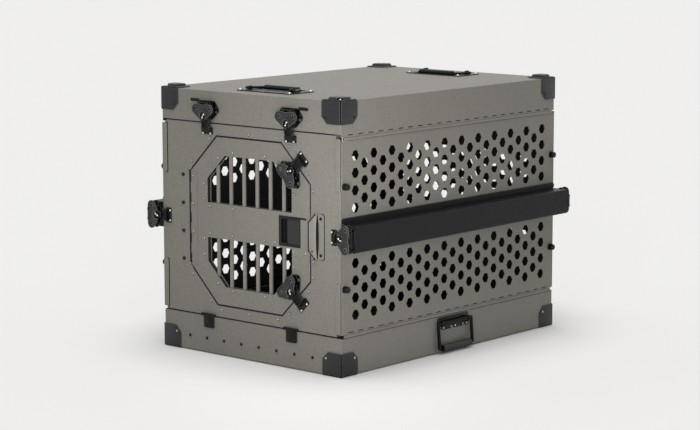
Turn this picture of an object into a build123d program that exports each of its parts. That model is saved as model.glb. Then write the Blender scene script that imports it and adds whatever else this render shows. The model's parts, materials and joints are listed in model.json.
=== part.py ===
from build123d import *
from math import cos, hypot, pi, radians, sin, sqrt
import os

os.makedirs("parts", exist_ok=True)

# ---- driving dimensions (mm) ----
width = 615.0            # over the side walls, X
length = 875.0           # over the end panels, Y; the door end faces -Y
height = 680.0           # floor to the lid's top sheet
sheet = 2.0              # aluminium sheet
gap = 1.5                # seam between tray, panels and lid
base_h = 98.0            # top of the base tray's wall
lid_front_h = 80.0       # lid's front and rear walls
foot = 3.0               # corner guard thickness, which is also the foot
guard = 60.0             # corner guard arm
guard_cut = 18.0         # chamfer on the guard's free corners
pad = 43.0               # stacking pad
pad_h = 6.0

hinge_base_z = 101.0     # fold axes
hinge_lid_z = height - 92
hinge_r = 4.0
mid_hinge_r = 3.0
mid_hinge_out = 1.75     # the middle axis stands outside the sheet's mid-plane
wall_end = length / 2 - 3   # side walls end inside the tray's end walls
wall_flange = 15.0

hex_flat = 24.5          # perforations, flat top and bottom
hex_cols = 23
hex_pitch_x = (length - 109.4) / (hex_cols - 1)
hex_pitch_z = 43.0
hex_low_z = hinge_base_z + 114
hex_high_z = hinge_lid_z - 107
slot_count = 22          # short slots along the long hinges
slot_pitch = (length - 72.8) / (slot_count - 1)

door_w = 418.0           # doorway octagon
door_h = height - 243
door_z = (base_h + height - lid_front_h) / 2
door_cut = 97.0
door_gap = 3.2
hinge_half = door_h / 2 - door_cut - 3     # half of the door hinge
door_return = 20.0
window_w = 292.0
window_h = (door_h - 189) / 2
window_cut = 62.0
window_gap = 90.0        # height of the band between the two windows
bar_d = 10.0
bar_pitch = 45.5
bar_count = 6
bar_back = 7.6           # tube axis behind the door's face

front_y = -length / 2
side_x = width / 2
panel_low = base_h + gap
panel_high = height - lid_front_h - gap
hinge_x = side_x - sheet / 2
mid_z = (hinge_base_z + hinge_lid_z) / 2
mid_x = hinge_x + mid_hinge_out

lock_bar_h = 65.0
lock_bar_out = 48.0
lock_bar_z = (hinge_base_z + hinge_lid_z) / 2 + 2.5
bumper_d = 18.0
bumper_h = 14.0
bumper_y = wall_end - 10.5
bumper_low_z = hinge_base_z + 118
bumper_high_z = hinge_lid_z - 116
lid_latch_x = side_x - 164

latch_reach = {"lid": 29.5, "bar": 22.0, "door": 35.0}    # wing's axis to the keeper's upstand
wing_low = 15.0          # underside of the wing above the face
wing_t = 3.5


def box(x0, x1, y0, y1, z0, z1):
    """Block between two corners."""
    with BuildPart() as b:
        with Locations(((x0 + x1) / 2, (y0 + y1) / 2, (z0 + z1) / 2)):
            Box(abs(x1 - x0), abs(y1 - y0), abs(z1 - z0))
    return b.part


def prism(points, plane, depth):
    """Closed outline on a plane, extruded along the plane's normal."""
    with BuildPart() as b:
        with BuildSketch(plane):
            with BuildLine():
                Polyline(*points, close=True)
            make_face()
        extrude(amount=depth)
    return b.part


def rod(p, q, r):
    """Round bar between two points."""
    d = Vector(*q) - Vector(*p)
    with BuildPart() as b:
        with BuildSketch(Plane(origin=p, z_dir=d)):
            Circle(r)
        extrude(amount=d.length)
    return b.part


def four(part):
    """The part and its mirror images in the other three corners."""
    other = mirror(part, about=Plane.YZ)
    return [part, other, mirror(part, about=Plane.XZ), mirror(other, about=Plane.XZ)]


def save(solid, node):
    solid.label = node
    export_step(solid, f"parts/{node}.step")


def front_plane(y, z=0.0):
    """Plane facing the door end, X to the right and Z up."""
    return Plane(origin=(0, y, z), x_dir=(1, 0, 0), z_dir=(0, -1, 0))


def octagon(w, h, cut):
    a, b = w / 2, h / 2
    return [(-a + cut, -b), (a - cut, -b), (a, -b + cut), (a, b - cut), (a - cut, b),
            (-a + cut, b), (-a, b - cut), (-a, -b + cut)]


def window(w, h, cut, up, z=0.0):
    """Window outline with its two outer corners cut; up is +1 or -1, z its centre."""
    a, b = w / 2, h / 2
    return [(-a, z - up * b), (a, z - up * b), (a, z + up * (b - cut)), (a - cut, z + up * b),
            (-a + cut, z + up * b), (-a, z + up * (b - cut))]


# ---- base tray ----
with BuildPart() as base_tray:
    with BuildSketch(Plane.XY.offset(foot)):
        RectangleRounded(width, length, 3)
    extrude(amount=base_h - foot - gap / 2)
    with BuildSketch(Plane.XY.offset(foot + sheet)):
        RectangleRounded(width - 2 * sheet, length - 2 * sheet, 1)
    extrude(amount=base_h, mode=Mode.SUBTRACT)
    # the side walls stop under the hinge barrels
    for side in (-1, 1):
        add(box(side * (side_x - sheet - 0.01), side * (side_x + 1), front_y - 1, -front_y + 1,
                hinge_base_z - hinge_r - 0.4, base_h), mode=Mode.SUBTRACT)
    for side in (-1, 1):
        # a pressed drain rib across the floor
        with BuildSketch(Plane.XY.offset(foot)):
            with Locations((0, side * length / 5)):
                SlotOverall(width * 0.72, 22)
        extrude(amount=sheet + 1.5)
        with BuildSketch(Plane.XY.offset(foot)):
            with Locations((0, side * length / 5)):
                SlotOverall(width * 0.72 - 4, 18)
        extrude(amount=1.5, mode=Mode.SUBTRACT)
# the floor and the four walls are kept as solids of their own, meeting at the bends
inner_x, inner_y = side_x - sheet, -front_y - sheet
save(Compound([(base_tray.part & b).solid() for b in (
    box(-inner_x, inner_x, -inner_y, inner_y, 0, base_h),
    box(-side_x - 1, side_x + 1, -inner_y - 9, -inner_y, 0, base_h),
    box(-side_x - 1, side_x + 1, inner_y, inner_y + 9, 0, base_h),
    box(-inner_x - 9, -inner_x, -inner_y, inner_y, 0, base_h),
    box(inner_x, inner_x + 9, -inner_y, inner_y, 0, base_h))]), "base_tray")


def corner_guard(z_out, z_dir):
    """Guard for the +X +Y corner; z_out is its outer flat face, z_dir points into the crate."""
    x0, y0 = side_x + foot, length / 2 + foot
    xi, yi = x0 - guard - foot, y0 - guard - foot
    tip = z_out + z_dir * guard
    near = z_out + z_dir * (guard - guard_cut)
    front = prism([(xi, z_out), (x0, z_out), (x0, tip), (xi + guard_cut, tip), (xi, near)],
                  front_plane(y0), foot)
    flank = prism([(yi, z_out), (y0, z_out), (y0, tip), (yi + guard_cut, tip), (yi, near)],
                  Plane(origin=(side_x, 0, 0), x_dir=(0, 1, 0), z_dir=(1, 0, 0)), foot)
    flat = prism([(xi, y0), (x0, y0), (x0, yi), (xi + guard_cut, yi), (xi, yi + guard_cut)],
                 Plane.XY.offset(z_out), z_dir * foot)
    with BuildPart() as g:
        add(front)
        add(flank)
        add(flat)
        upright = g.edges().filter_by(Axis.Z).sort_by(lambda e: -(e.center().X + e.center().Y))[0]
        fillet(upright, 2.6)
    return g.part


with BuildPart() as base_corner_guards:
    for g in four(corner_guard(0, 1)):
        add(g)
save(base_corner_guards.part, "base_corner_guards")

# ---- base hinges: barrel and inner leaf along each side ----
hinge_end = wall_end - 9
with BuildPart() as base_side_hinges:
    for s in (-1, 1):
        add(rod((s * hinge_x, -hinge_end, hinge_base_z), (s * hinge_x, hinge_end, hinge_base_z),
                hinge_r))
        add(box(s * (side_x - sheet - 1.6), s * (side_x - sheet), -hinge_end, hinge_end,
                hinge_base_z - 28, hinge_base_z))
save(base_side_hinges.part, "base_side_hinges")

# ---- panel clips on the base, two at each end ----
clip_x = 144.0


def panel_clip():
    """Waisted clip whose curled top bar stands in front of the panel's foot."""
    outline = [(-17, -16), (17, -16), (17, -8), (11, -1), (11, 8), (24.5, 13), (24.5, 19),
               (-24.5, 19), (-24.5, 13), (-11, 8), (-11, -1), (-17, -8)]
    with BuildPart() as c:
        add(prism(outline, Plane.XY, 2.5))
        add(rod((-24.5, 18.5, 4.2), (24.5, 18.5, 4.2), 4.0))
        fillet(c.edges().filter_by(Axis.Z).sort_by(Axis.Y)[:2], 4)
        for x, y in ((-10, -10), (10, -10), (0, 3)):
            with BuildSketch(Plane.XY.offset(2.5)):
                with Locations((x, y)):
                    Circle(3.2)
            extrude(amount=1.6)
    return c.part


with BuildPart() as base_panel_clips:
    for end in (-1, 1):
        for s in (-1, 1):
            at = Plane(origin=(s * clip_x, end * length / 2, 83), x_dir=(-end, 0, 0),
                       z_dir=(0, end, 0))
            add(at.location * panel_clip())
save(base_panel_clips.part, "base_panel_clips")

# ---- black screws in a row along each end of the base ----
screw_pitch = 61.0
screw_count = 8
with BuildPart() as base_screws:
    for end in (-1, 1):
        at = Plane(origin=(0, end * length / 2, 39), x_dir=(-end, 0, 0), z_dir=(0, end, 0))
        with BuildSketch(at):
            with GridLocations(screw_pitch, 1, screw_count, 1):
                Circle(4.8)
        extrude(amount=2.8)
save(base_screws.part, "base_screws")

# ---- handles: a plate with two ears, and a bail with a thick grip ----
# each is built in its own XY plane with outward +Z, its pivot on X and its bail towards -Y
base_handle = {"w": 128.0, "top": 15.0, "low": -19.0, "ear": 55.0, "leg": 69.0, "grip": 59.0,
               "drop": 63.0, "pivot_z": 7.7, "grip_z": 12.5, "rod_r": 3.6, "grip_r": 8.5}
lid_handle = {"w": 188.0, "top": 30.0, "low": -65.0, "ear": 72.0, "leg": 84.0, "grip": 57.0,
              "drop": 43.0, "pivot_z": 6.3, "grip_z": 5.4, "rod_r": 3.0, "grip_r": 6.5}
handle_t = 2.5
dish_w = 140.0           # recess in the lid plate, under the grip
dish_h = 34.0
dish_d = 12.0
base_pivot_z = 79.0
lid_pivot_y = length / 2 - 82.5


def handle_plate(k):
    y_mid = (k["top"] + k["low"]) / 2
    with BuildPart() as h:
        with BuildSketch():
            with Locations((0, y_mid)):
                RectangleRounded(k["w"], k["top"] - k["low"], 8)
        extrude(amount=handle_t)
        for s in (-1, 1):
            ear = Plane(origin=(s * k["ear"], 0, 0), x_dir=(0, 1, 0), z_dir=(1, 0, 0))
            with BuildSketch(ear):
                with Locations((0, k["pivot_z"] / 2 + 3)):
                    RectangleRounded(14, k["pivot_z"] + 4, 3)
            extrude(amount=3, both=True)
            with BuildSketch(ear):
                with Locations((0, k["pivot_z"])):
                    Circle(k["rod_r"] + 0.05)
            extrude(amount=4, both=True, mode=Mode.SUBTRACT)
        for x in (-k["w"] / 2 + 9, k["w"] / 2 - 9):
            for y in (k["top"] - 8, k["low"] + 8):
                with BuildSketch(Plane.XY.offset(handle_t)):
                    with Locations((x * (0.7 if k is base_handle else 1), y)):
                        Circle(3.2)
                extrude(amount=1.5)
    return h.part


def bail(k):
    """Bail of round rod: pivot ends turned in, legs, and the grip on the cross run."""
    zp, zg, drop, bail_r = k["pivot_z"], k["grip_z"], k["drop"], k["rod_r"]
    foot_x = k["leg"] if k is base_handle else k["grip"] + 4
    with BuildPart() as b:
        for s in (-1, 1):
            add(rod((s * (k["ear"] - 5), 0, zp), (s * k["leg"], 0, zp), bail_r))
            add(rod((s * k["leg"], 0, zp), (s * foot_x, -drop, zg), bail_r))
            with Locations((s * k["leg"], 0, zp), (s * foot_x, -drop, zg)):
                Sphere(bail_r)
        add(rod((-foot_x, -drop, zg), (foot_x, -drop, zg), bail_r))
        add(rod((-k["grip"], -drop, zg), (k["grip"], -drop, zg), k["grip_r"]))
    return b.part


def handle_frame(kind):
    """Plane of a handle: on a base side wall or on the lid."""
    if kind == "right":
        return Plane(origin=(side_x, 0, base_pivot_z), x_dir=(0, 1, 0), z_dir=(1, 0, 0))
    if kind == "left":
        return Plane(origin=(-side_x, 0, base_pivot_z), x_dir=(0, -1, 0), z_dir=(-1, 0, 0))
    if kind == "front":
        return Plane(origin=(0, -lid_pivot_y, height), x_dir=(-1, 0, 0), z_dir=(0, 0, 1))
    return Plane(origin=(0, lid_pivot_y, height), x_dir=(1, 0, 0), z_dir=(0, 0, 1))


with BuildPart() as base_handle_plates:
    for kind in ("right", "left"):
        add(handle_frame(kind).location * handle_plate(base_handle))
save(base_handle_plates.part, "base_handle_plates")

dish_y = -lid_handle["drop"]
with BuildPart() as recessed:
    add(handle_plate(lid_handle))
    # dish under the grip, through the lid's sheet
    with BuildSketch(Plane.XY.offset(-dish_d)):
        with Locations((0, dish_y)):
            RectangleRounded(dish_w + 4, dish_h + 4, 8)
    extrude(amount=dish_d + 1)
    with BuildSketch(Plane.XY.offset(-dish_d + 2)):
        with Locations((0, dish_y)):
            RectangleRounded(dish_w, dish_h, 6)
    extrude(amount=dish_d + 5, mode=Mode.SUBTRACT)
with BuildPart() as lid_handle_plates:
    for kind in ("front", "rear"):
        add(handle_frame(kind).location * recessed.part)
save(lid_handle_plates.part, "lid_handle_plates")
for node, kind, k in (("right_carry_bail", "right", base_handle),
                      ("left_carry_bail", "left", base_handle),
                      ("front_lid_bail", "front", lid_handle),
                      ("rear_lid_bail", "rear", lid_handle)):
    save(handle_frame(kind).location * bail(k), node)


# ---- side walls, modelled on the right and mirrored to the left ----
def hex_points(z_mid):
    """Centres of one staggered field: columns of four and of three."""
    pts = []
    for i in range(hex_cols):
        y = (i - (hex_cols - 1) / 2) * hex_pitch_x
        rows = 4 if i % 2 == 0 else 3
        for j in range(rows):
            pts.append((y, z_mid + (j - (rows - 1) / 2) * hex_pitch_z))
    return pts


def side_wall(z0, z1, z_hex, barrel):
    """Wall sheet, and the fold at each of its ends, as solids that meet at the bend."""
    wall_plane = Plane(origin=(side_x - sheet, 0, 0), x_dir=(0, 1, 0), z_dir=(1, 0, 0))
    with BuildPart() as w:
        add(box(side_x - sheet, side_x, -wall_end, wall_end, z0, z1))
        with BuildSketch(wall_plane):
            with Locations(*hex_points(z_hex)):
                RegularPolygon(hex_flat / 2, 6, major_radius=False)
        extrude(amount=sheet, mode=Mode.SUBTRACT)
        if barrel:
            # row of short slots over the base hinge, and the middle hinge's barrel
            with BuildSketch(wall_plane):
                with Locations((0, hinge_base_z + hinge_r + 4.5)):
                    with GridLocations(slot_pitch, 1, slot_count, 1):
                        Rectangle(20, 2.6)
            extrude(amount=sheet, mode=Mode.SUBTRACT)
            add(rod((mid_x, -hinge_end, mid_z), (mid_x, hinge_end, mid_z), mid_hinge_r))
    return [w.part] + [box(side_x - wall_flange - sheet, side_x - sheet, s * (wall_end - sheet),
                           s * wall_end, z0 + (0.6 if barrel else 0), z1 + (0 if barrel else 2.4))
                       for s in (-1, 1)]


lower = side_wall(hinge_base_z + hinge_r + 0.4, mid_z - 1.2, hex_low_z, True)
upper = side_wall(mid_z + mid_hinge_r + 0.5, hinge_lid_z - hinge_r - 0.4, hex_high_z, False)


def bumpers(z):
    with BuildPart() as b:
        with BuildSketch(Plane(origin=(side_x, 0, z), x_dir=(0, 1, 0), z_dir=(1, 0, 0))):
            with Locations((-bumper_y, 0), (bumper_y, 0)):
                Circle(bumper_d / 2)
        extrude(amount=bumper_h, taper=6)
        fillet(b.faces().filter_by(Axis.X).group_by(Axis.X)[-1].edges(), 3)
    return b.part


rail_low = lock_bar_z + lock_bar_h / 2 + 1.5
rail_high = rail_low + 14
with BuildPart() as rail:
    with BuildSketch(Plane(origin=(side_x, 0, 0), x_dir=(0, 1, 0), z_dir=(1, 0, 0))):
        with Locations((0, (rail_low + rail_high) / 2)):
            RectangleRounded(length - 6, rail_high - rail_low, 6.5)
    extrude(amount=5)

for side, name in ((1, "right"), (-1, "left")):
    for folds, node in ((lower, "lower_wall"), (upper, "upper_wall")):
        save(Compound([solid for fold in folds for solid in
                       (fold if side == 1 else mirror(fold, about=Plane.YZ)).solids()]),
             f"{name}_{node}")
    for shape, node in ((bumpers(bumper_low_z), "lower_bumpers"),
                        (bumpers(bumper_high_z), "upper_bumpers"), (rail.part, "bar_rail")):
        save(shape if side == 1 else mirror(shape, about=Plane.YZ), f"{name}_{node}")

# ---- lock bar: channel open towards the wall, closed at both ends ----
bar_in = side_x + 0.8
bar_out = side_x + lock_bar_out
bar_t = 3.0
with BuildPart() as lock_bar:
    add(box(bar_in, bar_out, front_y, -front_y, lock_bar_z - lock_bar_h / 2,
            lock_bar_z + lock_bar_h / 2))
    fillet(lock_bar.edges().filter_by(Axis.Y).group_by(Axis.X)[-1], 5)
    add(box(bar_in - 5, bar_out - bar_t, front_y + bar_t, -front_y - bar_t,
            lock_bar_z - lock_bar_h / 2 + bar_t, lock_bar_z + lock_bar_h / 2 - bar_t),
        mode=Mode.SUBTRACT)
save(lock_bar.part, "right_lock_bar")
save(mirror(lock_bar.part, about=Plane.YZ), "left_lock_bar")

# ---- lid ----
with BuildPart() as lid_shell:
    with BuildSketch(Plane.XY.offset(height)):
        RectangleRounded(width, length, 3)
    extrude(amount=-(height - hinge_lid_z - hinge_r - 0.4))
    with BuildSketch(Plane.XY.offset(height - sheet)):
        RectangleRounded(width - 2 * sheet, length - 2 * sheet, 1)
    extrude(amount=-200, mode=Mode.SUBTRACT)
    # the end walls stop higher than the side walls
    add(box(-side_x - 1, side_x + 1, front_y - 1, front_y + sheet + 0.01, height - 180,
            height - lid_front_h), mode=Mode.SUBTRACT)
    add(box(-side_x - 1, side_x + 1, -front_y - sheet - 0.01, -front_y + 1, height - 180,
            height - lid_front_h), mode=Mode.SUBTRACT)
    # cut-outs for the handles' dishes
    for s in (-1, 1):
        with BuildSketch(Plane.XY.offset(height + 1)):
            with Locations((0, s * (lid_pivot_y + dish_y))):
                RectangleRounded(dish_w + 5, dish_h + 5, 8)
        extrude(amount=-sheet - 2, mode=Mode.SUBTRACT)
    # slots: short ones over the long hinges, two obrounds at each end
    for s in (-1, 1):
        with BuildSketch(Plane(origin=(s * side_x, 0, hinge_lid_z + 9.5), x_dir=(0, 1, 0),
                               z_dir=(s, 0, 0))):
            with GridLocations(slot_pitch, 1, slot_count, 1):
                Rectangle(20, 2.6)
        extrude(amount=-sheet, mode=Mode.SUBTRACT)
        with BuildSketch(front_plane(s * length / 2, height - 25.5)):
            with Locations((-lid_latch_x - 43, 0), (lid_latch_x + 43, 0)):
                SlotOverall(33, 6)
        extrude(amount=s * sheet, mode=Mode.SUBTRACT)
save(lid_shell.part, "lid_shell")

with BuildPart() as lid_corner_guards:
    corner = corner_guard(height + foot, -1)
    px, py = side_x - pad / 2 - 3, length / 2 - pad / 2 - 3
    with BuildPart() as cap:
        add(corner)
        with BuildSketch(Plane.XY.offset(height + foot)):
            with BuildLine():
                k = pad / 2
                Polyline((px - k, py - k), (px + k, py - k), (px + k, py + k - 12),
                         (px + k - 12, py + k), (px - k, py + k), close=True)
            make_face()
        extrude(amount=pad_h, taper=22)
    for g in four(cap.part):
        add(g)
save(lid_corner_guards.part, "lid_corner_guards")

with BuildPart() as lid_side_hinges:
    for s in (-1, 1):
        add(rod((s * hinge_x, -hinge_end, hinge_lid_z), (s * hinge_x, hinge_end, hinge_lid_z),
                hinge_r))
        add(box(s * (side_x - sheet - 1.6), s * (side_x - sheet), -hinge_end, hinge_end,
                hinge_lid_z, hinge_lid_z + 28))
save(lid_side_hinges.part, "lid_side_hinges")


# ---- rotary draw latch: case, wing and hook, built with the hook pointing to -Y ----
def latch_case(wide, y1):
    """Base plate with a lug at each side, and the housing the hook slides through."""
    lug = wide / 2 - 11
    with BuildPart() as c:
        with BuildSketch():
            with Locations((lug, 16), (-lug, 16)):
                Circle(11)
            with Locations((lug * 0.77, y1 - 9), (-lug * 0.77, y1 - 9)):
                Circle(9)
            with Locations((18, -4.5), (-18, -4.5)):
                Circle(4)
            make_hull()
        extrude(amount=2)
        with BuildSketch(Plane.XY.offset(2)):
            with Locations((0, (y1 - 8.5) / 2)):
                RectangleRounded(44, y1 + 8.5, 4)
        extrude(amount=8)
        fillet(c.faces().sort_by(Axis.Z)[-1].edges(), 2)
        with BuildSketch(Plane.XY.offset(10)):
            Circle(8.5)
        extrude(amount=2)
        # tunnel the hook slides through, open at both ends
        with BuildSketch(Plane.XY.offset(4.6)):
            Rectangle(34.6, 200)
        extrude(amount=3.4, mode=Mode.SUBTRACT)
        with BuildSketch(Plane.XY.offset(12)):
            Circle(4.05)
        extrude(amount=-3, mode=Mode.SUBTRACT)
    return c.part


def latch_wing():
    """Shield-shaped wing with two lobes and a hub on the case's boss."""
    lobe_x, lobe_y, lobe_r = 23.3, 18.0, 13.2
    with BuildPart() as w:
        with BuildSketch(Plane.XY.offset(wing_low)):
            with Locations((lobe_x, lobe_y), (-lobe_x, lobe_y)):
                Circle(lobe_r)
            with Locations((14, -1), (-14, -1)):
                Circle(4)
            make_hull()
            with Locations((0, lobe_y + lobe_r + 26)):
                Circle(28, mode=Mode.SUBTRACT)
            with Locations((lobe_x, lobe_y + 1), (-lobe_x, lobe_y + 1)):
                Circle(3.2, mode=Mode.SUBTRACT)
        extrude(amount=wing_t)
        with BuildSketch(Plane.XY.offset(12.3)):
            Circle(9)
        extrude(amount=wing_low - 12.3 + wing_t + 2)
        with BuildSketch(Plane.XY.offset(9.4)):
            Circle(4.0)
        extrude(amount=4)
    return w.part


def latch_hook(reach):
    """Flat strap, narrower towards its turned-down lip."""
    tip = -reach - 4.0
    with BuildPart() as h:
        with BuildSketch(Plane.XY.offset(5)):
            with BuildLine():
                Polyline((-17, 12), (17, 12), (17, -13), (13.5, tip), (-13.5, tip), (-17, -13),
                         close=True)
            make_face()
        extrude(amount=2.6)
        add(box(-12, 12, tip, tip + 2.6, 2.0, 7))
    return h.part


def keeper(reach):
    """Base plate with an upstand behind the hook's lip and a rivet at each side."""
    with BuildPart() as k:
        with BuildSketch():
            with Locations((0, -reach - 8.1)):
                RectangleRounded(40, 19, 3)
        extrude(amount=1.5)
        add(box(-16, 16, -reach - 0.8, -reach + 1.4, 0, 4.6))
        with BuildSketch(Plane.XY.offset(1.5)):
            with Locations((-13, -reach - 14.6), (13, -reach - 14.6)):
                Circle(2.4)
        extrude(amount=1.5)
    return k.part


def reach_of(name):
    return latch_reach["lid" if "lid" in name else "bar" if "bar" in name else "door"]


def latch_plane(origin, normal, hook):
    up = Vector(*hook) * -1
    return Plane(origin=origin, x_dir=up.cross(Vector(*normal)), z_dir=normal)


lid_latch_z = height - 64
bar_latch_x = side_x + 9.3
k45 = sqrt(0.5)
door_latch_in = 18.0     # from the doorway's slanted edge
door_latch_along = 8.2   # past that edge's middle, towards the side
door_latch_x = (door_w - door_cut) / 2 - k45 * (door_latch_in - door_latch_along)
door_latch_dz = (door_h - door_cut) / 2 - k45 * (door_latch_in + door_latch_along)
front_n = (0, -1, 0)
rear_n = (0, 1, 0)

latches = {
    "lid_front_right": latch_plane((lid_latch_x, front_y, lid_latch_z), front_n, (0, 0, -1)),
    "lid_front_left": latch_plane((-lid_latch_x, front_y, lid_latch_z), front_n, (0, 0, -1)),
    "lid_rear_right": latch_plane((lid_latch_x, -front_y, lid_latch_z), rear_n, (0, 0, -1)),
    "lid_rear_left": latch_plane((-lid_latch_x, -front_y, lid_latch_z), rear_n, (0, 0, -1)),
    "right_bar_front": latch_plane((bar_latch_x, front_y, lock_bar_z), front_n, (-1, 0, 0)),
    "right_bar_rear": latch_plane((bar_latch_x, -front_y, lock_bar_z), rear_n, (-1, 0, 0)),
    "left_bar_front": latch_plane((-bar_latch_x, front_y, lock_bar_z), front_n, (1, 0, 0)),
    "left_bar_rear": latch_plane((-bar_latch_x, -front_y, lock_bar_z), rear_n, (1, 0, 0)),
    "door_upper": latch_plane((door_latch_x, front_y, door_z + door_latch_dz), front_n,
                              (k45, 0, k45)),
    "door_lower": latch_plane((door_latch_x, front_y, door_z - door_latch_dz), front_n,
                              (k45, 0, -k45)),
}

case_groups = {
    "lid_latch_cases": (84, 39, [n for n in latches if n.startswith("lid")]),
    "right_bar_latch_cases": (72, 37.5, ["right_bar_front", "right_bar_rear"]),
    "left_bar_latch_cases": (72, 37.5, ["left_bar_front", "left_bar_rear"]),
    "door_latch_cases": (84, 34, ["door_upper", "door_lower"]),
}
for node, (wide, y1, names) in case_groups.items():
    with BuildPart() as cases:
        for n in names:
            add(latches[n].location * latch_case(wide, y1))
    save(cases.part, node)

moving = [n for n in latches if not n.startswith("lid_rear")]
for n in moving:
    save(latches[n].location * latch_wing(), n + "_wing")
    save(latches[n].location * latch_hook(reach_of(n)), n + "_hook")
with BuildPart() as rear_lid_latches:
    for n in ("lid_rear_right", "lid_rear_left"):
        add(latches[n].location * latch_wing())
        add(latches[n].location * latch_hook(reach_of(n)))
save(rear_lid_latches.part, "rear_lid_latches")

with BuildPart() as front_keepers:
    for n in latches:
        if n in ("lid_front_right", "lid_front_left", "right_bar_front", "left_bar_front",
                 "door_upper", "door_lower"):
            add(latches[n].location * keeper(reach_of(n)))
save(front_keepers.part, "front_keepers")
with BuildPart() as rear_keepers:
    for n in ("lid_rear_right", "lid_rear_left", "right_bar_rear", "left_bar_rear"):
        add(latches[n].location * keeper(reach_of(n)))
save(rear_keepers.part, "rear_keepers")

# ---- end panels ----
notch = wall_flange + 0.5
notch_low = lock_bar_z - 114
notch_high = lock_bar_z + 114
panel_a = side_x
panel_outline = [(-panel_a + notch, panel_low), (panel_a - notch, panel_low),
                 (panel_a - notch, notch_low), (panel_a, notch_low), (panel_a, notch_high),
                 (panel_a - notch, notch_high), (panel_a - notch, panel_high),
                 (-panel_a + notch, panel_high), (-panel_a + notch, notch_high),
                 (-panel_a, notch_high), (-panel_a, notch_low), (-panel_a + notch, notch_low)]
return_x = side_x - sheet - wall_flange - 1.0
return_d = 18.0


def end_panel():
    """Sheet with returned edges, on the front plane and facing -Y."""
    with BuildPart() as p:
        add(prism(panel_outline, front_plane(front_y + sheet), sheet))
        for s in (-1, 1):
            add(box(s * (return_x - sheet), s * return_x, front_y + sheet - 0.1,
                    front_y + sheet + return_d, panel_low, panel_high))
        add(box(-return_x, return_x, front_y + sheet - 0.1, front_y + sheet + return_d,
                panel_low, panel_low + sheet))
        add(box(-return_x, return_x, front_y + sheet - 0.1, front_y + sheet + return_d,
                panel_high - sheet, panel_high))
    return p.part


strike_x = door_w / 2 + 2
bolt_z = door_z - 4
with BuildPart() as front_panel:
    add(end_panel())
    with BuildSketch(front_plane(front_y + sheet + door_return, door_z)):
        with BuildLine():
            Polyline(*octagon(door_w + 2 * sheet, door_h + 2 * sheet, door_cut + sheet * 0.6),
                     close=True)
        make_face()
    extrude(amount=door_return)
    with BuildSketch(front_plane(front_y + sheet + door_return + 1, door_z)):
        with BuildLine():
            Polyline(*octagon(door_w, door_h, door_cut), close=True)
        make_face()
    extrude(amount=door_return + sheet + 2, mode=Mode.SUBTRACT)
    # relief for the hinge barrel
    add(box(-door_w / 2 - 3.2, -door_w / 2 + 1, front_y - 1, front_y + 7,
            door_z - hinge_half - 5.5, door_z + hinge_half + 5.5), mode=Mode.SUBTRACT)
    # hole the latch bolt enters, in the jamb
    add(box(door_w / 2 - 1, door_w / 2 + sheet + 1, front_y + 5, front_y + 17, bolt_z - 12,
            bolt_z + 12), mode=Mode.SUBTRACT)
save(front_panel.part, "front_panel")

with BuildPart() as rear_panel:
    add(mirror(end_panel(), about=Plane.XZ))
    pts = []
    for i in range(13):
        rows = 6 if i % 2 == 0 else 5
        for j in range(rows):
            pts.append(((i - 6) * hex_pitch_x, (j - (rows - 1) / 2) * hex_pitch_z))
    with BuildSketch(front_plane(-front_y, door_z)):
        with Locations(*pts):
            RegularPolygon(hex_flat / 2, 6, major_radius=False)
    extrude(amount=sheet + 1, both=True, mode=Mode.SUBTRACT)
save(rear_panel.part, "rear_panel")

# ---- strike: bulged hood and its flange on the panel, right of the doorway ----
with BuildPart() as door_strike:
    hood = [(0, 0), (0, -10), (3, -12), (20, -12), (24, -9), (27, -2), (43, -2), (43, 0)]
    with BuildSketch(Plane.XY.offset(bolt_z - 58)):
        with BuildLine():
            Polyline(*[(strike_x - 1 + x, front_y + y) for x, y in hood], close=True)
        make_face()
    extrude(amount=113)
    fillet(door_strike.edges().filter_by(Axis.Y).group_by(Axis.X)[-1], 6)
    inner = [(2, 1), (2, -9), (4, -10.2), (19, -10.2), (22.5, -8), (25.5, -1), (25.5, 1)]
    with BuildSketch(Plane.XY.offset(bolt_z - 36)):
        with BuildLine():
            Polyline(*[(strike_x - 1 + x, front_y + y) for x, y in inner], close=True)
        make_face()
    extrude(amount=72, mode=Mode.SUBTRACT)
    # slanted corners on the doorway's side
    for z, dz in ((bolt_z + 35, 23), (bolt_z - 37, -23)):
        with BuildSketch(front_plane(front_y + 1)):
            with BuildLine():
                Polyline((strike_x - 2, z), (strike_x - 2, z + dz), (strike_x + 21, z + dz),
                         close=True)
            make_face()
        extrude(amount=20, mode=Mode.SUBTRACT)
save(door_strike.part, "door_strike")

# ---- door hinge, its barrel sunk in the gap ----
hinge_px = -door_w / 2 + door_gap / 2
hinge_py = front_y + 2.0
barrel_r = 3.0
leaf_t = 1.4
knuckles = 9
knuckle = 2 * hinge_half / knuckles
bolt_pitch = 2 * (hinge_half - 9) / 3


def barrels(first):
    """Spans of every second knuckle."""
    z0 = door_z - hinge_half
    return [(z0 + i * knuckle + 0.25, z0 + (i + 1) * knuckle - 0.25)
            for i in range(first, knuckles, 2)]


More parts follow.
